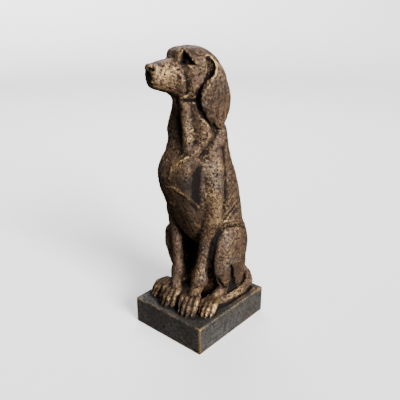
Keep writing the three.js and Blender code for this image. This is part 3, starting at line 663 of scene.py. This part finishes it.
# %% Net the surface
def net_surface(clay):
    field = clay.field
    inside = field < 0
    spans = np.array(field.shape) - 1
    count = sum(
        inside[tuple(slice(shift, shift + span) for shift, span in zip(corner, spans))].astype(np.int8)
        for corner in np.ndindex(2, 2, 2)
    )
    cells = np.argwhere((count > 0) & (count < 8))
    number = np.full(spans, -1, np.int32)
    number[tuple(cells.T)] = np.arange(len(cells))
    total = np.zeros((len(cells), 3))
    crossings = np.zeros((len(cells), 1))
    quads = []
    for axis in range(3):
        along = np.eye(3, dtype=int)[axis]
        first, second = [np.eye(3, dtype=int)[(axis + turn) % 3] for turn in (1, 2)]
        for corner in (0 * along, first, second, first + second):
            start = cells + corner
            a = field[tuple(start.T)]
            b = field[tuple((start + along).T)]
            crosses = ((a < 0) != (b < 0))[:, None]
            part = np.where(crosses[:, 0], a / np.where(a == b, 1, a - b), 0)[:, None]
            total += crosses * (start + along * part)
            crossings += crosses
        low = inside[tuple(slice(0, size - step) for size, step in zip(field.shape, along))]
        high = inside[tuple(slice(step, size) for size, step in zip(field.shape, along))]
        edges = np.argwhere(low != high)
        shifts = (first + second, second, 0 * along, first)
        ring = np.stack([number[tuple((edges - shift).T)] for shift in shifts], axis=1)
        leaving = low[tuple(edges.T)]
        quads.append(np.where(leaving[:, None], ring, ring[:, ::-1]))
    return total / crossings * clay.spacing + clay.low, np.concatenate(quads)


points, quads = net_surface(clay)
print("net:", len(points), "vertices,", len(quads), "quads")


# %% [markdown]
# ## Masks from the form
#
# Patina depends on form. A painter washes dark colour into every hollow and then drags an almost dry brush
# of brass over the high places. Blurring the field tells both: where the blurred distance is larger than the
# true one, the surface stands out, and where it is smaller, the surface lies back. A narrow blur finds folds
# and toes, and a wide one finds the deep recesses between the legs. The darkening that the wide one drives
# is partly the wash and partly painted shade, because the legs shade each other there.

# %% Measure ridges and hollows
def blurred(field, width, passes=3):
    """The mean over a box of lattice points, taken along each axis in turn, a few times over."""
    for _ in range(passes):
        for axis in range(3):
            padding = [(width + 1, width) if a == axis else (0, 0) for a in range(3)]
            sums = np.cumsum(np.pad(field, padding, mode="edge"), axis=axis, dtype=np.float32)
            size = sums.shape[axis]
            ahead = np.take(sums, np.arange(2 * width + 1, size), axis=axis)
            behind = np.take(sums, np.arange(0, size - 2 * width - 1), axis=axis)
            field = (ahead - behind) / (2 * width + 1)
    return field


NARROW_BLUR = 1  # lattice points
WIDE_BLUR = 5
FULL_FOLD = 0.35  # the lift, in millimetres, that makes a mask full
FULL_CREST = 1.6
FULL_HOLLOW = 1.1
shallow = np.clip(clay.field, -REACH, REACH)
narrow_lift = clay.sample(points, blurred(shallow, NARROW_BLUR) - shallow)
wide_lift = clay.sample(points, blurred(shallow, WIDE_BLUR) - shallow)
masks = {
    "ridge": np.clip(narrow_lift / FULL_FOLD, 0, 1),
    "fold": np.clip(-narrow_lift / FULL_FOLD, 0, 1),
    "crest": np.clip(wide_lift / FULL_CREST, 0, 1),
    # The wide hollows are darkened partly as wash and partly as painted shade.
    "hollow": np.clip(-wide_lift / FULL_HOLLOW, 0, 1),
}
for name, mask in masks.items():
    print(name, "mask, mean", round(float(mask.mean()), 3))


# %% [markdown]
# ## Casting skin
#
# Resin from a mould has a skin of its own: the coat is stippled in short strokes, bubbles leave small pits,
# and the block is smoother than the dog. This is relief that the eye sees as shape at arm's length, so it
# moves vertices along their normals. Only the finest grain is left to the material.

# %% Stipple the coat
def vertex_normals(points, quads):
    normals = np.zeros_like(points)
    first = points[quads[:, 2]] - points[quads[:, 0]]
    second = points[quads[:, 3]] - points[quads[:, 1]]
    facing = np.cross(first, second)
    for corner in range(4):
        np.add.at(normals, quads[:, corner], facing)
    return normals / np.maximum(np.linalg.norm(normals, axis=1, keepdims=True), TINY)


STIPPLE_SCALE = 0.42
STROKE_SCALE = Vector((0.34, 0.34, 0.13))
SWELL_SCALE = 0.09
COAT_STIPPLE, COAT_STROKES, COAT_SWELL = 0.4, 0.1, 0.36
BLOCK_STIPPLE, BLOCK_SWELL = 0.1, 0.22
BLOCK_FADE = 1.2
on_block = np.clip((BLOCK_TOP + BLOCK_FADE - points[:, 2]) / BLOCK_FADE, 0, 1)
normals = vertex_normals(points, quads)
stipple = np.array([noise.noise(Vector(p) * STIPPLE_SCALE) for p in points])
strokes = np.array([noise.noise(Vector(p) * STROKE_SCALE) for p in points])
swell = np.array([noise.noise(Vector(p) * SWELL_SCALE) for p in points])
coat = COAT_STIPPLE * stipple + COAT_STROKES * strokes + COAT_SWELL * swell
height = (1 - on_block) * coat + on_block * (BLOCK_STIPPLE * stipple + BLOCK_SWELL * swell)
print("stipple from", round(float(height.min()), 2), "to", round(float(height.max()), 2), "mm")

# %% Press in the pits
SEED = 7
PIT_COUNT = 1600
EAR_PIT_COUNT = 360
EAR_PIT_REACH = 22
PIT_RADII = (0.9, 1.9)
PIT_DEPTHS = (0.3, 0.9)
BLOCK_PIT_SHARE = 0.35
UNDERSIDE = 0.4  # below this height nothing moves, so the block stands flat
random.seed(SEED)
tree = kdtree.KDTree(len(points))
for index, point in enumerate(points):
    tree.insert(point, index)
tree.balance()
on_ears = []
for side in SIDES:
    on_ears += [index for _, index, _ in tree.find_range(on_head(-5, 29 * side, -22), EAR_PIT_REACH)]
pit_places = random.choices(range(len(points)), k=PIT_COUNT) + random.choices(on_ears, k=EAR_PIT_COUNT)
pits = np.zeros(len(points))
for centre in pit_places:
    radius = random.uniform(*PIT_RADII)
    depth = random.uniform(*PIT_DEPTHS) * (BLOCK_PIT_SHARE if on_block[centre] > 0.5 else 1)
    for _, index, gap in tree.find_range(points[centre], radius):
        share = 1 - (gap / radius) ** 2
        pits[index] = max(pits[index], share * depth)
height -= pits
height[points[:, 2] < UNDERSIDE] = 0
points = points + normals * height[:, None]
print("relief from", round(float(height.min()), 2), "to", round(float(height.max()), 2), "mm")

# %% Keep the grain as a mask
GRAIN_MIDDLE = 0.5
GRAIN_STIPPLE = 0.9
GRAIN_STROKES = 0.2
GRAIN_PITS = 1.2
grain = GRAIN_MIDDLE + GRAIN_STIPPLE * stipple + GRAIN_STROKES * strokes - GRAIN_PITS * pits
masks["grain"] = np.clip(grain, 0, 1)
print("grain mask, mean", round(float(masks["grain"].mean()), 3))

# %% [markdown]
# ## Where the painter's brush went, with painted light and shade
#
# The brass isn't even. The muzzle, the neck's bands, the upper arms, the thighs, the tail and the folds of
# the breast get more of it. This is partly the painter going over them more than once, and partly a painted
# highlight where the key light falls. The ears and the tip of the nose keep their darker paint, and the
# front of the muzzle gets painted shade as well. The eyes, the throat, the sides of the breast, the grooves
# beside the arms, the gaps and slits of the legs and the dog's right foreleg get painted shade where shadow
# falls. The block's top edges stayed darker. Each spot has a middle, a radius and an amount, which is
# negative where brass was left off and darkness goes on, and each spot fades out like a soft brush.

# %% Paint spots: brush, painted highlight and painted shade
BRUSH_AND_LIGHT_SPOTS = [
    # Sides of the muzzle: more brass, partly a painted highlight where the key light falls
    (on_head(29, 11, -5), 14, 0.16), (on_head(29, -11, -5), 14, 0.16),
    # Ears
    (on_head(-4, 28, -22), 22, -0.15), (on_head(-4, -28, -22), 22, -0.15),
    # Eyes: painted shade in the sockets. Tip of the nose: its dark paint, with painted shade on the muzzle's
    # front
    (on_head(14, 14, 11), 9, -0.5), (on_head(14, -14, 11), 9, -0.5), (on_head(47, 0, -3), 9, -0.45),
    # Bands of the neck: more brass, partly a painted highlight on the lit bands
    ((11, -29, 226), 13, 0.14), ((-11, -26, 226), 13, 0.1),
    # Upper arms: more brass, partly a painted highlight where the key light falls
    ((30, -18, 184), 13, 0.22), ((29, -19, 160), 13, 0.26), ((25, -19, 136), 12, 0.15),
    ((-30, -18, 168), 20, 0.12),
    # Sides of the breast: painted shade
    ((15, -42, 172), 13, -0.3), ((-15, -42, 172), 13, -0.1),
    # Thighs: more brass, partly a painted highlight
    ((41, 0, 96), 16, 0.1), ((-41, 0, 96), 16, 0.1),
    # Throat under the jaw, and both ends of the groove in front of the arm: painted shade
    ((1, -32, 222), 10, -0.4), ((-4, -31, 235), 10, -0.4),
    ((19, -34, 197), 8, -0.3), ((21, -35, 152), 8, -0.3),
    # Tail: more brass, partly a painted highlight
    ((38, 10, 40), 18, 0.12),
    # Paws
    ((16, -40, 38), 12, -0.14), ((-10, -40, 38), 12, -0.14),
    ((31, -28, 37), 11, -0.1), ((-32, -30, 37), 12, -0.16),
]
BLOCK_FRONT = [(x, -50, 31) for x in (-36, -24, -12, 0, 12, 24, 36)]
BLOCK_SIDES = [(side * 43, y, 31) for side in SIDES for y in (-40, -28, -16, -4, 8, 20, 32)]
arm_grooves = [place for side in SIDES for place in body_route(ARM_GROOVE[2:-1], side)]
# Painted shade goes in the grooves beside the arms, the gap at the elbow and the slits and creases of the
# hind legs. It also goes on the right foreleg, which the left one shades. Brass goes along the folds of the
# breast, partly as a painted highlight. The block's top edges stay darker.
for places, radius, amount in (
    (arm_grooves, 12, -0.36),
    (LEFT_ELBOW_GAP, 7, -0.35),
    (COLLAR_FOLD[:-1] + BREAST_FOLD[1:], 5, 0.24),
    (SLIT_FLOOR, 5, -0.6),
    (SHIN_CREASE, 4, -0.4),
    (RIGHT_FOREARM[1:], 10, -0.35),
    (BLOCK_FRONT, 8, -0.3),
    (BLOCK_SIDES, 7, -0.25),
):
    BRUSH_AND_LIGHT_SPOTS += [(place, radius, amount) for place in places]
# Positive amounts give more brass, partly as painted highlight. Negative amounts give darkness, mostly as
# painted shade.
brush_and_painted_light = np.zeros(len(points))
for middle, radius, amount in BRUSH_AND_LIGHT_SPOTS:
    gap = np.linalg.norm(points - middle, axis=1)
    brush_and_painted_light += amount * np.exp(-((gap / radius) ** 2))
masks["brush_and_painted_light"] = brush_and_painted_light
print("brush amounts from", round(float(brush_and_painted_light.min()), 2), "to", round(float(brush_and_painted_light.max()), 2))

# %% [markdown]
# ## The mesh
#
# Now the net becomes a Blender mesh, in metres. Each mask goes along as an attribute with one value for each
# vertex, so that the materials can read it, and Decimate carries it over to the thinner mesh.

# %% Make the mesh
def new_object(name, data):
    made = bpy.data.objects.new(name, data)
    bpy.context.scene.collection.objects.link(made)
    return made


MM = 0.001
mesh = bpy.data.meshes.new("dog_casting")
mesh.from_pydata(points * MM, [], quads)
mesh.validate()
mesh.update()
mesh.shade_smooth()
for name, values in masks.items():
    layer = mesh.attributes.new(name, "FLOAT", "POINT")
    layer.data.foreach_set("value", values.astype(np.float32))
casting = new_object("dog_casting", mesh)
print("attributes:", list(masks))

# %% [markdown]
# ## Fewer faces where nothing happens
#
# The even net spends as many quads on the flat sides of the block as on the face. Decimate collapses the
# edges whose loss changes the surface least, so the flats give up their faces first and the carving keeps
# its own.

# %% Thin out the flats
TRIANGLE_GOAL = 190_000
thinning = casting.modifiers.new("thin out", "DECIMATE")
thinning.ratio = min(1.0, TRIANGLE_GOAL / (2 * len(quads)))
evaluated = casting.evaluated_get(bpy.context.evaluated_depsgraph_get())
thinned = bpy.data.meshes.new_from_object(evaluated)
casting.modifiers.clear()
casting.data = thinned
bpy.data.meshes.remove(mesh)
thinned.name = "dog_casting"
thinned.shade_smooth()
print("thinned:", len(thinned.vertices), "vertices")

# %% [markdown]
# ## No bubbles inside
#
# Where a toe, a claw and the block meet, the clay can close over a tiny hollow. Nobody sees such a bubble,
# but its faces would stay in the mesh. Starting at the crown and walking from face to face over edges that
# two faces share reaches the whole skin, so every face that the walk misses belongs to a bubble.

# %% Remove closed bubbles
shape = bmesh.new()
shape.from_mesh(thinned)
crown = max(shape.verts, key=lambda vertex: vertex.co.z)
skin = set()
waiting = [crown.link_faces[0]]
while waiting:
    face = waiting.pop()
    if face not in skin:
        skin.add(face)
        for edge in face.edges:
            if len(edge.link_faces) == 2:
                waiting.extend(edge.link_faces)
bubbles = [face for face in shape.faces if face not in skin]
bmesh.ops.delete(shape, geom=bubbles, context="FACES")
shape.to_mesh(thinned)
shape.free()
print("casting:", len(thinned.polygons), "faces, after", len(bubbles), "of bubbles were removed")

# %% [markdown]
# ## Patina
#
# The real finish is paint on resin: a nearly black brown ground, warm brown over it with patches of a greyer
# bloom, and brass dragged over the high places. The greyer bloom also stands in for a cool sheen, as a
# painted reflection, and the brush spots add painted shade and painted highlight over the paint. Dog and
# block share these layers, each with its own strength, so the layers are node groups and the two materials
# only set numbers.

# %% Node helpers
FLOAT, COLOUR = "NodeSocketFloat", "NodeSocketColor"


class Nodes:
    """Short names for the nodes of one tree. Values may be numbers or the sockets of other nodes."""

    def __init__(self, tree):
        self.tree = tree

    def add(self, kind, inputs, **settings):
        node = self.tree.nodes.new(kind)
        for name, value in settings.items():
            setattr(node, name, value)
        self.feed(node, inputs)
        return node

    def feed(self, node, inputs):
        for key, value in inputs.items():
            if isinstance(value, bpy.types.NodeSocket):
                self.tree.links.new(value, node.inputs[key])
            else:
                node.inputs[key].default_value = value

    def math(self, operation, first, second, clamp=False):
        inputs = {0: first, 1: second}
        return self.add("ShaderNodeMath", inputs, operation=operation, use_clamp=clamp).outputs[0]

    def times(self, first, second):
        return self.math("MULTIPLY", first, second)

    def plus(self, first, second):
        return self.math("ADD", first, second)

    def minus(self, first, second, clamp=False):
        return self.math("SUBTRACT", first, second, clamp)

    def spread(self, value, low, high, start=0.0, end=1.0):
        """Stretch the range low..high to start..end, with soft ends."""
        inputs = {"Value": value, "From Min": low, "From Max": high, "To Min": start, "To Max": end}
        return self.add("ShaderNodeMapRange", inputs, interpolation_type="SMOOTHSTEP").outputs["Result"]

    def mix(self, share, under, over):
        """Mix two colours. The node keeps its colour sockets at 6 and 7, and its colour result at 2."""
        return self.add("ShaderNodeMix", {0: share, 6: under, 7: over}, data_type="RGBA").outputs[2]

    def mask(self, name):
        return self.add("ShaderNodeAttribute", {}, attribute_name=name).outputs["Fac"]

    def place(self):
        return self.add("ShaderNodeTexCoord", {}).outputs["Object"]

    def speckle(self, scale, detail=2.0, roughness=0.6):
        """Noise whose features are about 1 / scale metres wide."""
        inputs = {"Vector": self.place(), "Scale": scale, "Detail": detail, "Roughness": roughness}
        return self.add("ShaderNodeTexNoise", inputs).outputs["Fac"]


def new_group(name, inputs, outputs):
    """A shader node group with named sockets: each has its kind and, if an input, its first value."""
    group = bpy.data.node_groups.new(name, "ShaderNodeTree")
    for label, kind, value in inputs:
        group.interface.new_socket(label, in_out="INPUT", socket_type=kind).default_value = value
    for label, kind in outputs:
        group.interface.new_socket(label, in_out="OUTPUT", socket_type=kind)
    print("node group:", name)
    return group, group.nodes.new("NodeGroupInput").outputs, group.nodes.new("NodeGroupOutput")


# %% Dark wash: the first coats, left in hollows and pits, with painted shade in deep recesses and shaded places
FINE_SCALE = 700.0  # pores and bristle marks
FINE_DETAIL = 3.0
FINE_ROUGHNESS = 0.65
CLOUD_SCALE = 60.0
BLOOM_AND_SHEEN_SCALE = 32.0
PIT_SCALE = 420.0
FOLD_SHARE = 0.7
wash_group, given, wash_end = new_group(
    "dark wash",
    [
        ("Ground", COLOUR, (0.01, 0.008, 0.006, 1)), ("Brown", COLOUR, (0.12, 0.08, 0.05, 1)),
        ("Bloom", COLOUR, (0.1, 0.095, 0.09, 1)), ("Depth", FLOAT, 1.0),
    ],
    [("Colour", COLOUR), ("Cover", FLOAT), ("Pits", FLOAT)],
)
wash = Nodes(wash_group)
# Negative spot amounts darken the ears' and the nose's own paint, and add painted shade elsewhere. The wide
# hollows take both wash and painted shade, and the folds take only wash.
unbrushed_and_shade = wash.spread(wash.mask("brush_and_painted_light"), 0.0, -0.5, 0.0, 0.5)
wash_and_shade = wash.plus(wash.plus(wash.mask("hollow"), wash.times(wash.mask("fold"), FOLD_SHARE)), unbrushed_and_shade)
open_part = wash.minus(1.0, wash.times(wash_and_shade, given["Depth"]), clamp=True)
cloud = wash.spread(wash.speckle(CLOUD_SCALE), 0.3, 0.7, 0.7, 1.0)
pores = wash.spread(wash.speckle(FINE_SCALE, FINE_DETAIL, FINE_ROUGHNESS), 0.36, 0.6, 0.5, 1.0)
coat_grain = wash.spread(wash.mask("grain"), 0.05, 0.6, 0.4, 1.0)
cells = wash.add("ShaderNodeTexVoronoi", {"Vector": wash.place(), "Scale": PIT_SCALE})
pit_sizes = wash.add("ShaderNodeSeparateColor", {0: cells.outputs["Color"]}).outputs[0]
pit_reach = wash.spread(pit_sizes, 0.6, 1.0, 0.0, 0.45)
fine_pits = wash.spread(wash.minus(pit_reach, cells.outputs["Distance"]), 0.0, 0.15)
textured = wash.times(wash.times(pores, coat_grain), wash.minus(1.0, fine_pits))
cover = wash.times(wash.times(open_part, cloud), textured)
# The greyer bloom also stands in for a cool sheen on the metal, as a painted reflection.
bloom_and_sheen_share = wash.spread(wash.speckle(BLOOM_AND_SHEEN_SCALE), 0.48, 0.7, 0.0, 0.7)
hue = wash.mix(bloom_and_sheen_share, given["Brown"], given["Bloom"])
painted = wash.mix(cover, given["Ground"], hue)
wash.feed(wash_end, {"Colour": painted, "Cover": cover, "Pits": fine_pits})

# %% Dry brush: brass on what stands out, and painted highlight on lit places
PATCH_SCALE = 45.0
brush_group, given, brush_end = new_group(
    "dry brush",
    [("Amount", FLOAT, 0.5), ("Edges", FLOAT, 0.1)],
    [("Mask", FLOAT)],
)
brush = Nodes(brush_group)
raised = brush.plus(
    brush.times(brush.spread(brush.mask("ridge"), 0.35, 1.0), given["Edges"]),
    brush.spread(brush.mask("crest"), 0.3, 1.0, 0.0, 0.06),
)
bristle = brush.plus(
    brush.speckle(FINE_SCALE, FINE_DETAIL, FINE_ROUGHNESS),
    brush.spread(brush.mask("grain"), 0.0, 1.0, -0.1, 0.1),
)
patches = brush.spread(brush.speckle(PATCH_SCALE), 0.3, 0.7, -0.12, 0.12)
# The spot amounts add brass, partly as painted highlight, and take brass away where painted shade goes.
brush_and_highlight = brush.plus(given["Amount"], brush.mask("brush_and_painted_light"))
catch = brush.plus(brush.plus(raised, bristle), brush.plus(patches, brush_and_highlight))
brush.feed(brush_end, {"Mask": brush.spread(catch, 0.85, 1.4)})

# %% Fine grain: relief too small for the mesh
grain_group, given, grain_end = new_group(
    "fine grain", [("Scale", FLOAT, FINE_SCALE)], [("Height", FLOAT)],
)
fine = Nodes(grain_group)
fine.feed(grain_end, {"Height": fine.speckle(given["Scale"], FINE_DETAIL, FINE_ROUGHNESS)})

# %% [markdown]
# ## Two finishes
#
# The dog takes a lot of brass, and the block only a little along its edges. Bronze powder in the paint gives
# even the brown a half-metal sheen, and brass flakes shine like metal. So the brush mask also drives the
# metal share, and the wash stays rougher than the brass.

# %% The patina material
BRASS = (0.47, 0.3, 0.135, 1)
BROWN_METAL, BRASS_METAL = 0.5, 0.95
GROUND_ROUGH, BRASS_ROUGH = 0.9, 0.36
SPECULAR = 0.2


# The bloom colour is a greyer tone that also stands in for a cool sheen, as a painted reflection.
def patina(name, ground, brown, bloom_and_sheen, depth, brass_amount, brass_edges, rough, grain_depth):
    material = bpy.data.materials.new(name)
    material.use_nodes = True
    nodes = Nodes(material.node_tree)
    washed = nodes.add("ShaderNodeGroup", {}, node_tree=wash_group)
    nodes.feed(washed, {"Ground": ground, "Brown": brown, "Bloom": bloom_and_sheen, "Depth": depth})
    brushed = nodes.add("ShaderNodeGroup", {}, node_tree=brush_group)
    nodes.feed(brushed, {"Amount": brass_amount, "Edges": brass_edges})
    grained = nodes.add("ShaderNodeGroup", {}, node_tree=grain_group)
    brass = nodes.times(brushed.outputs["Mask"], nodes.minus(1.0, washed.outputs["Pits"]))
    wash_rough = nodes.spread(washed.outputs["Cover"], 0.0, 0.5, GROUND_ROUGH, rough)
    relief = nodes.minus(grained.outputs["Height"], washed.outputs["Pits"])
    bump = nodes.add("ShaderNodeBump", {"Strength": 1.0, "Distance": grain_depth, "Height": relief})
    nodes.feed(material.node_tree.nodes["Principled BSDF"], {
        "Base Color": nodes.mix(brass, washed.outputs["Colour"], BRASS),
        "Metallic": nodes.spread(brass, 0.0, 1.0, BROWN_METAL, BRASS_METAL),
        "Roughness": nodes.spread(brass, 0.0, 1.0, wash_rough, BRASS_ROUGH),
        "Specular IOR Level": SPECULAR,
        "Normal": bump.outputs["Normal"],
    })
    return material


# %% Finish the dog and the block
dog_finish = patina(
    "dog_patina",
    ground=(0.009, 0.006, 0.005, 1), brown=(0.135, 0.08, 0.048, 1), bloom_and_sheen=(0.12, 0.1, 0.088, 1),
    depth=1.4, brass_amount=0.36, brass_edges=0.28, rough=0.46, grain_depth=0.0009,
)
block_finish = patina(
    "block_patina",
    ground=(0.012, 0.011, 0.01, 1), brown=(0.104, 0.091, 0.079, 1), bloom_and_sheen=(0.106, 0.104, 0.099, 1),
    depth=1.0, brass_amount=0.2, brass_edges=0.42, rough=0.5, grain_depth=0.0004,
)
FILLET = 0.5  # the block's finish reaches this far above its top
thinned.materials.append(dog_finish)
thinned.materials.append(block_finish)
centres = np.empty(len(thinned.polygons) * 3)
thinned.polygons.foreach_get("center", centres)
on_block_face = (centres.reshape(-1, 3)[:, 2] < (BLOCK_TOP + FILLET) * MM).astype(np.int32)
thinned.polygons.foreach_set("material_index", on_block_face)
print("faces on the block:", int(on_block_face.sum()))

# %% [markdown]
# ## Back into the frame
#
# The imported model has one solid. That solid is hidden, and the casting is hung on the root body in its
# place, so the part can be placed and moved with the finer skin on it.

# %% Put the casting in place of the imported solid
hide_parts("hunting_dog")
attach(casting, "root")
print("in place:", casting.name)

# %% [markdown]
# ## Camera
#
# The camera stands where the photographer's stood, found from the block's corners: in front of the dog and
# off to its left, just above its head, looking down.

# %% Camera
camera_data = bpy.data.cameras.new("camera")
camera_data.sensor_width = 36
camera_data.lens = 45
camera = new_object("camera", camera_data)
camera.location = (0.3200, -0.3702, 0.3329)
camera.rotation_euler = (math.radians(68.7), 0, math.radians(40.9))
bpy.context.scene.camera = camera
print("camera at", [round(place, 3) for place in camera.location])

# %% [markdown]
# ## Studio
#
# A big soft key light on the dog's left models the flank and leaves the breast in shade. A lamp high behind
# the dog draws the outline of its back, and a weak one in front keeps the shade from going black. The
# surroundings glow a little towards the key light.

# %% Lights
DOG_MIDDLE = Vector((0, 0, 0.16))
KEY_PLACE = Vector((0.92, -0.18, 0.6))
BACK_PLACE = (-0.7, 0.6, 1.3)
FILL_PLACE = (-0.6, -0.9, 0.2)


def light(name, kind, location, power, **settings):
    """A light that points at the middle of the dog."""
    data = bpy.data.lights.new(name, kind)
    data.energy = power
    for setting, value in settings.items():
        setattr(data, setting, value)
    lamp = new_object(name, data)
    lamp.location = location
    lamp.rotation_euler = (DOG_MIDDLE - lamp.location).to_track_quat("-Z", "Y").to_euler()
    print("light:", name, kind, power)


light("key", "SUN", KEY_PLACE, power=11, angle=math.radians(28))
light("back", "AREA", BACK_PLACE, power=18, size=0.8)
light("fill", "AREA", FILL_PLACE, power=1.6, size=0.8)

# %% Surroundings
WHITE = (1, 1, 1, 1)
DIM, BRIGHT = 0.04, 0.25
world = bpy.data.worlds.new("studio")
bpy.context.scene.world = world
world.use_nodes = True
studio = Nodes(world.node_tree)
direction = studio.add("ShaderNodeTexCoord", {}).outputs["Generated"]
towards_key = studio.add(
    "ShaderNodeVectorMath", {0: direction, 1: KEY_PLACE.normalized()}, operation="DOT_PRODUCT"
).outputs["Value"]
glow = studio.spread(towards_key, -0.2, 0.9, DIM, BRIGHT)
studio.feed(world.node_tree.nodes["Background"], {"Color": WHITE, "Strength": glow})
print("surroundings glow from", DIM, "to", BRIGHT)

# %% [markdown]
# ## Floor
#
# A photographer sets such a piece on a sheet of pale paper that curves up at its far side. Here the paper is
# a wide bowl, so that it is pale from every side. It glows a little, and it is hidden from bounced light,
# reflections and shadow rays, so that it doesn't change how the dog is lit.

# %% Floor
FLOOR_PROFILE = [(0.02, 0), (2, 0), (2.5, 0.06), (2.9, 0.3), (3.1, 0.7), (3.2, 3)]  # reach and height
FLOOR_STEPS = 64
PAPER = (0.9, 0.9, 0.9, 1)
PAPER_ROUGH = 0.8
PAPER_GLOW = 0.5
corners = []
for reach, rise in FLOOR_PROFILE:
    for index in range(FLOOR_STEPS):
        angle = index * math.tau / FLOOR_STEPS
        corners.append((reach * math.cos(angle), reach * math.sin(angle), rise))
faces = [tuple(range(FLOOR_STEPS))]
for ring in range(len(FLOOR_PROFILE) - 1):
    for index in range(FLOOR_STEPS):
        here = ring * FLOOR_STEPS + index
        beside = ring * FLOOR_STEPS + (index + 1) % FLOOR_STEPS
        faces.append((here, here + FLOOR_STEPS, beside + FLOOR_STEPS, beside))
floor_mesh = bpy.data.meshes.new("floor")
floor_mesh.from_pydata(corners, [], faces)
floor_mesh.shade_smooth()
floor = new_object("floor", floor_mesh)
print("floor:", len(faces), "faces")

# %% Paper finish
floor_finish = bpy.data.materials.new("pale_floor")
floor_finish.use_nodes = True
Nodes(floor_finish.node_tree).feed(floor_finish.node_tree.nodes["Principled BSDF"], {
    "Base Color": PAPER,
    "Roughness": PAPER_ROUGH,
    "Emission Color": WHITE,
    "Emission Strength": PAPER_GLOW,
})
floor_mesh.materials.append(floor_finish)
floor.visible_diffuse = False
floor.visible_glossy = False
floor.visible_shadow = False
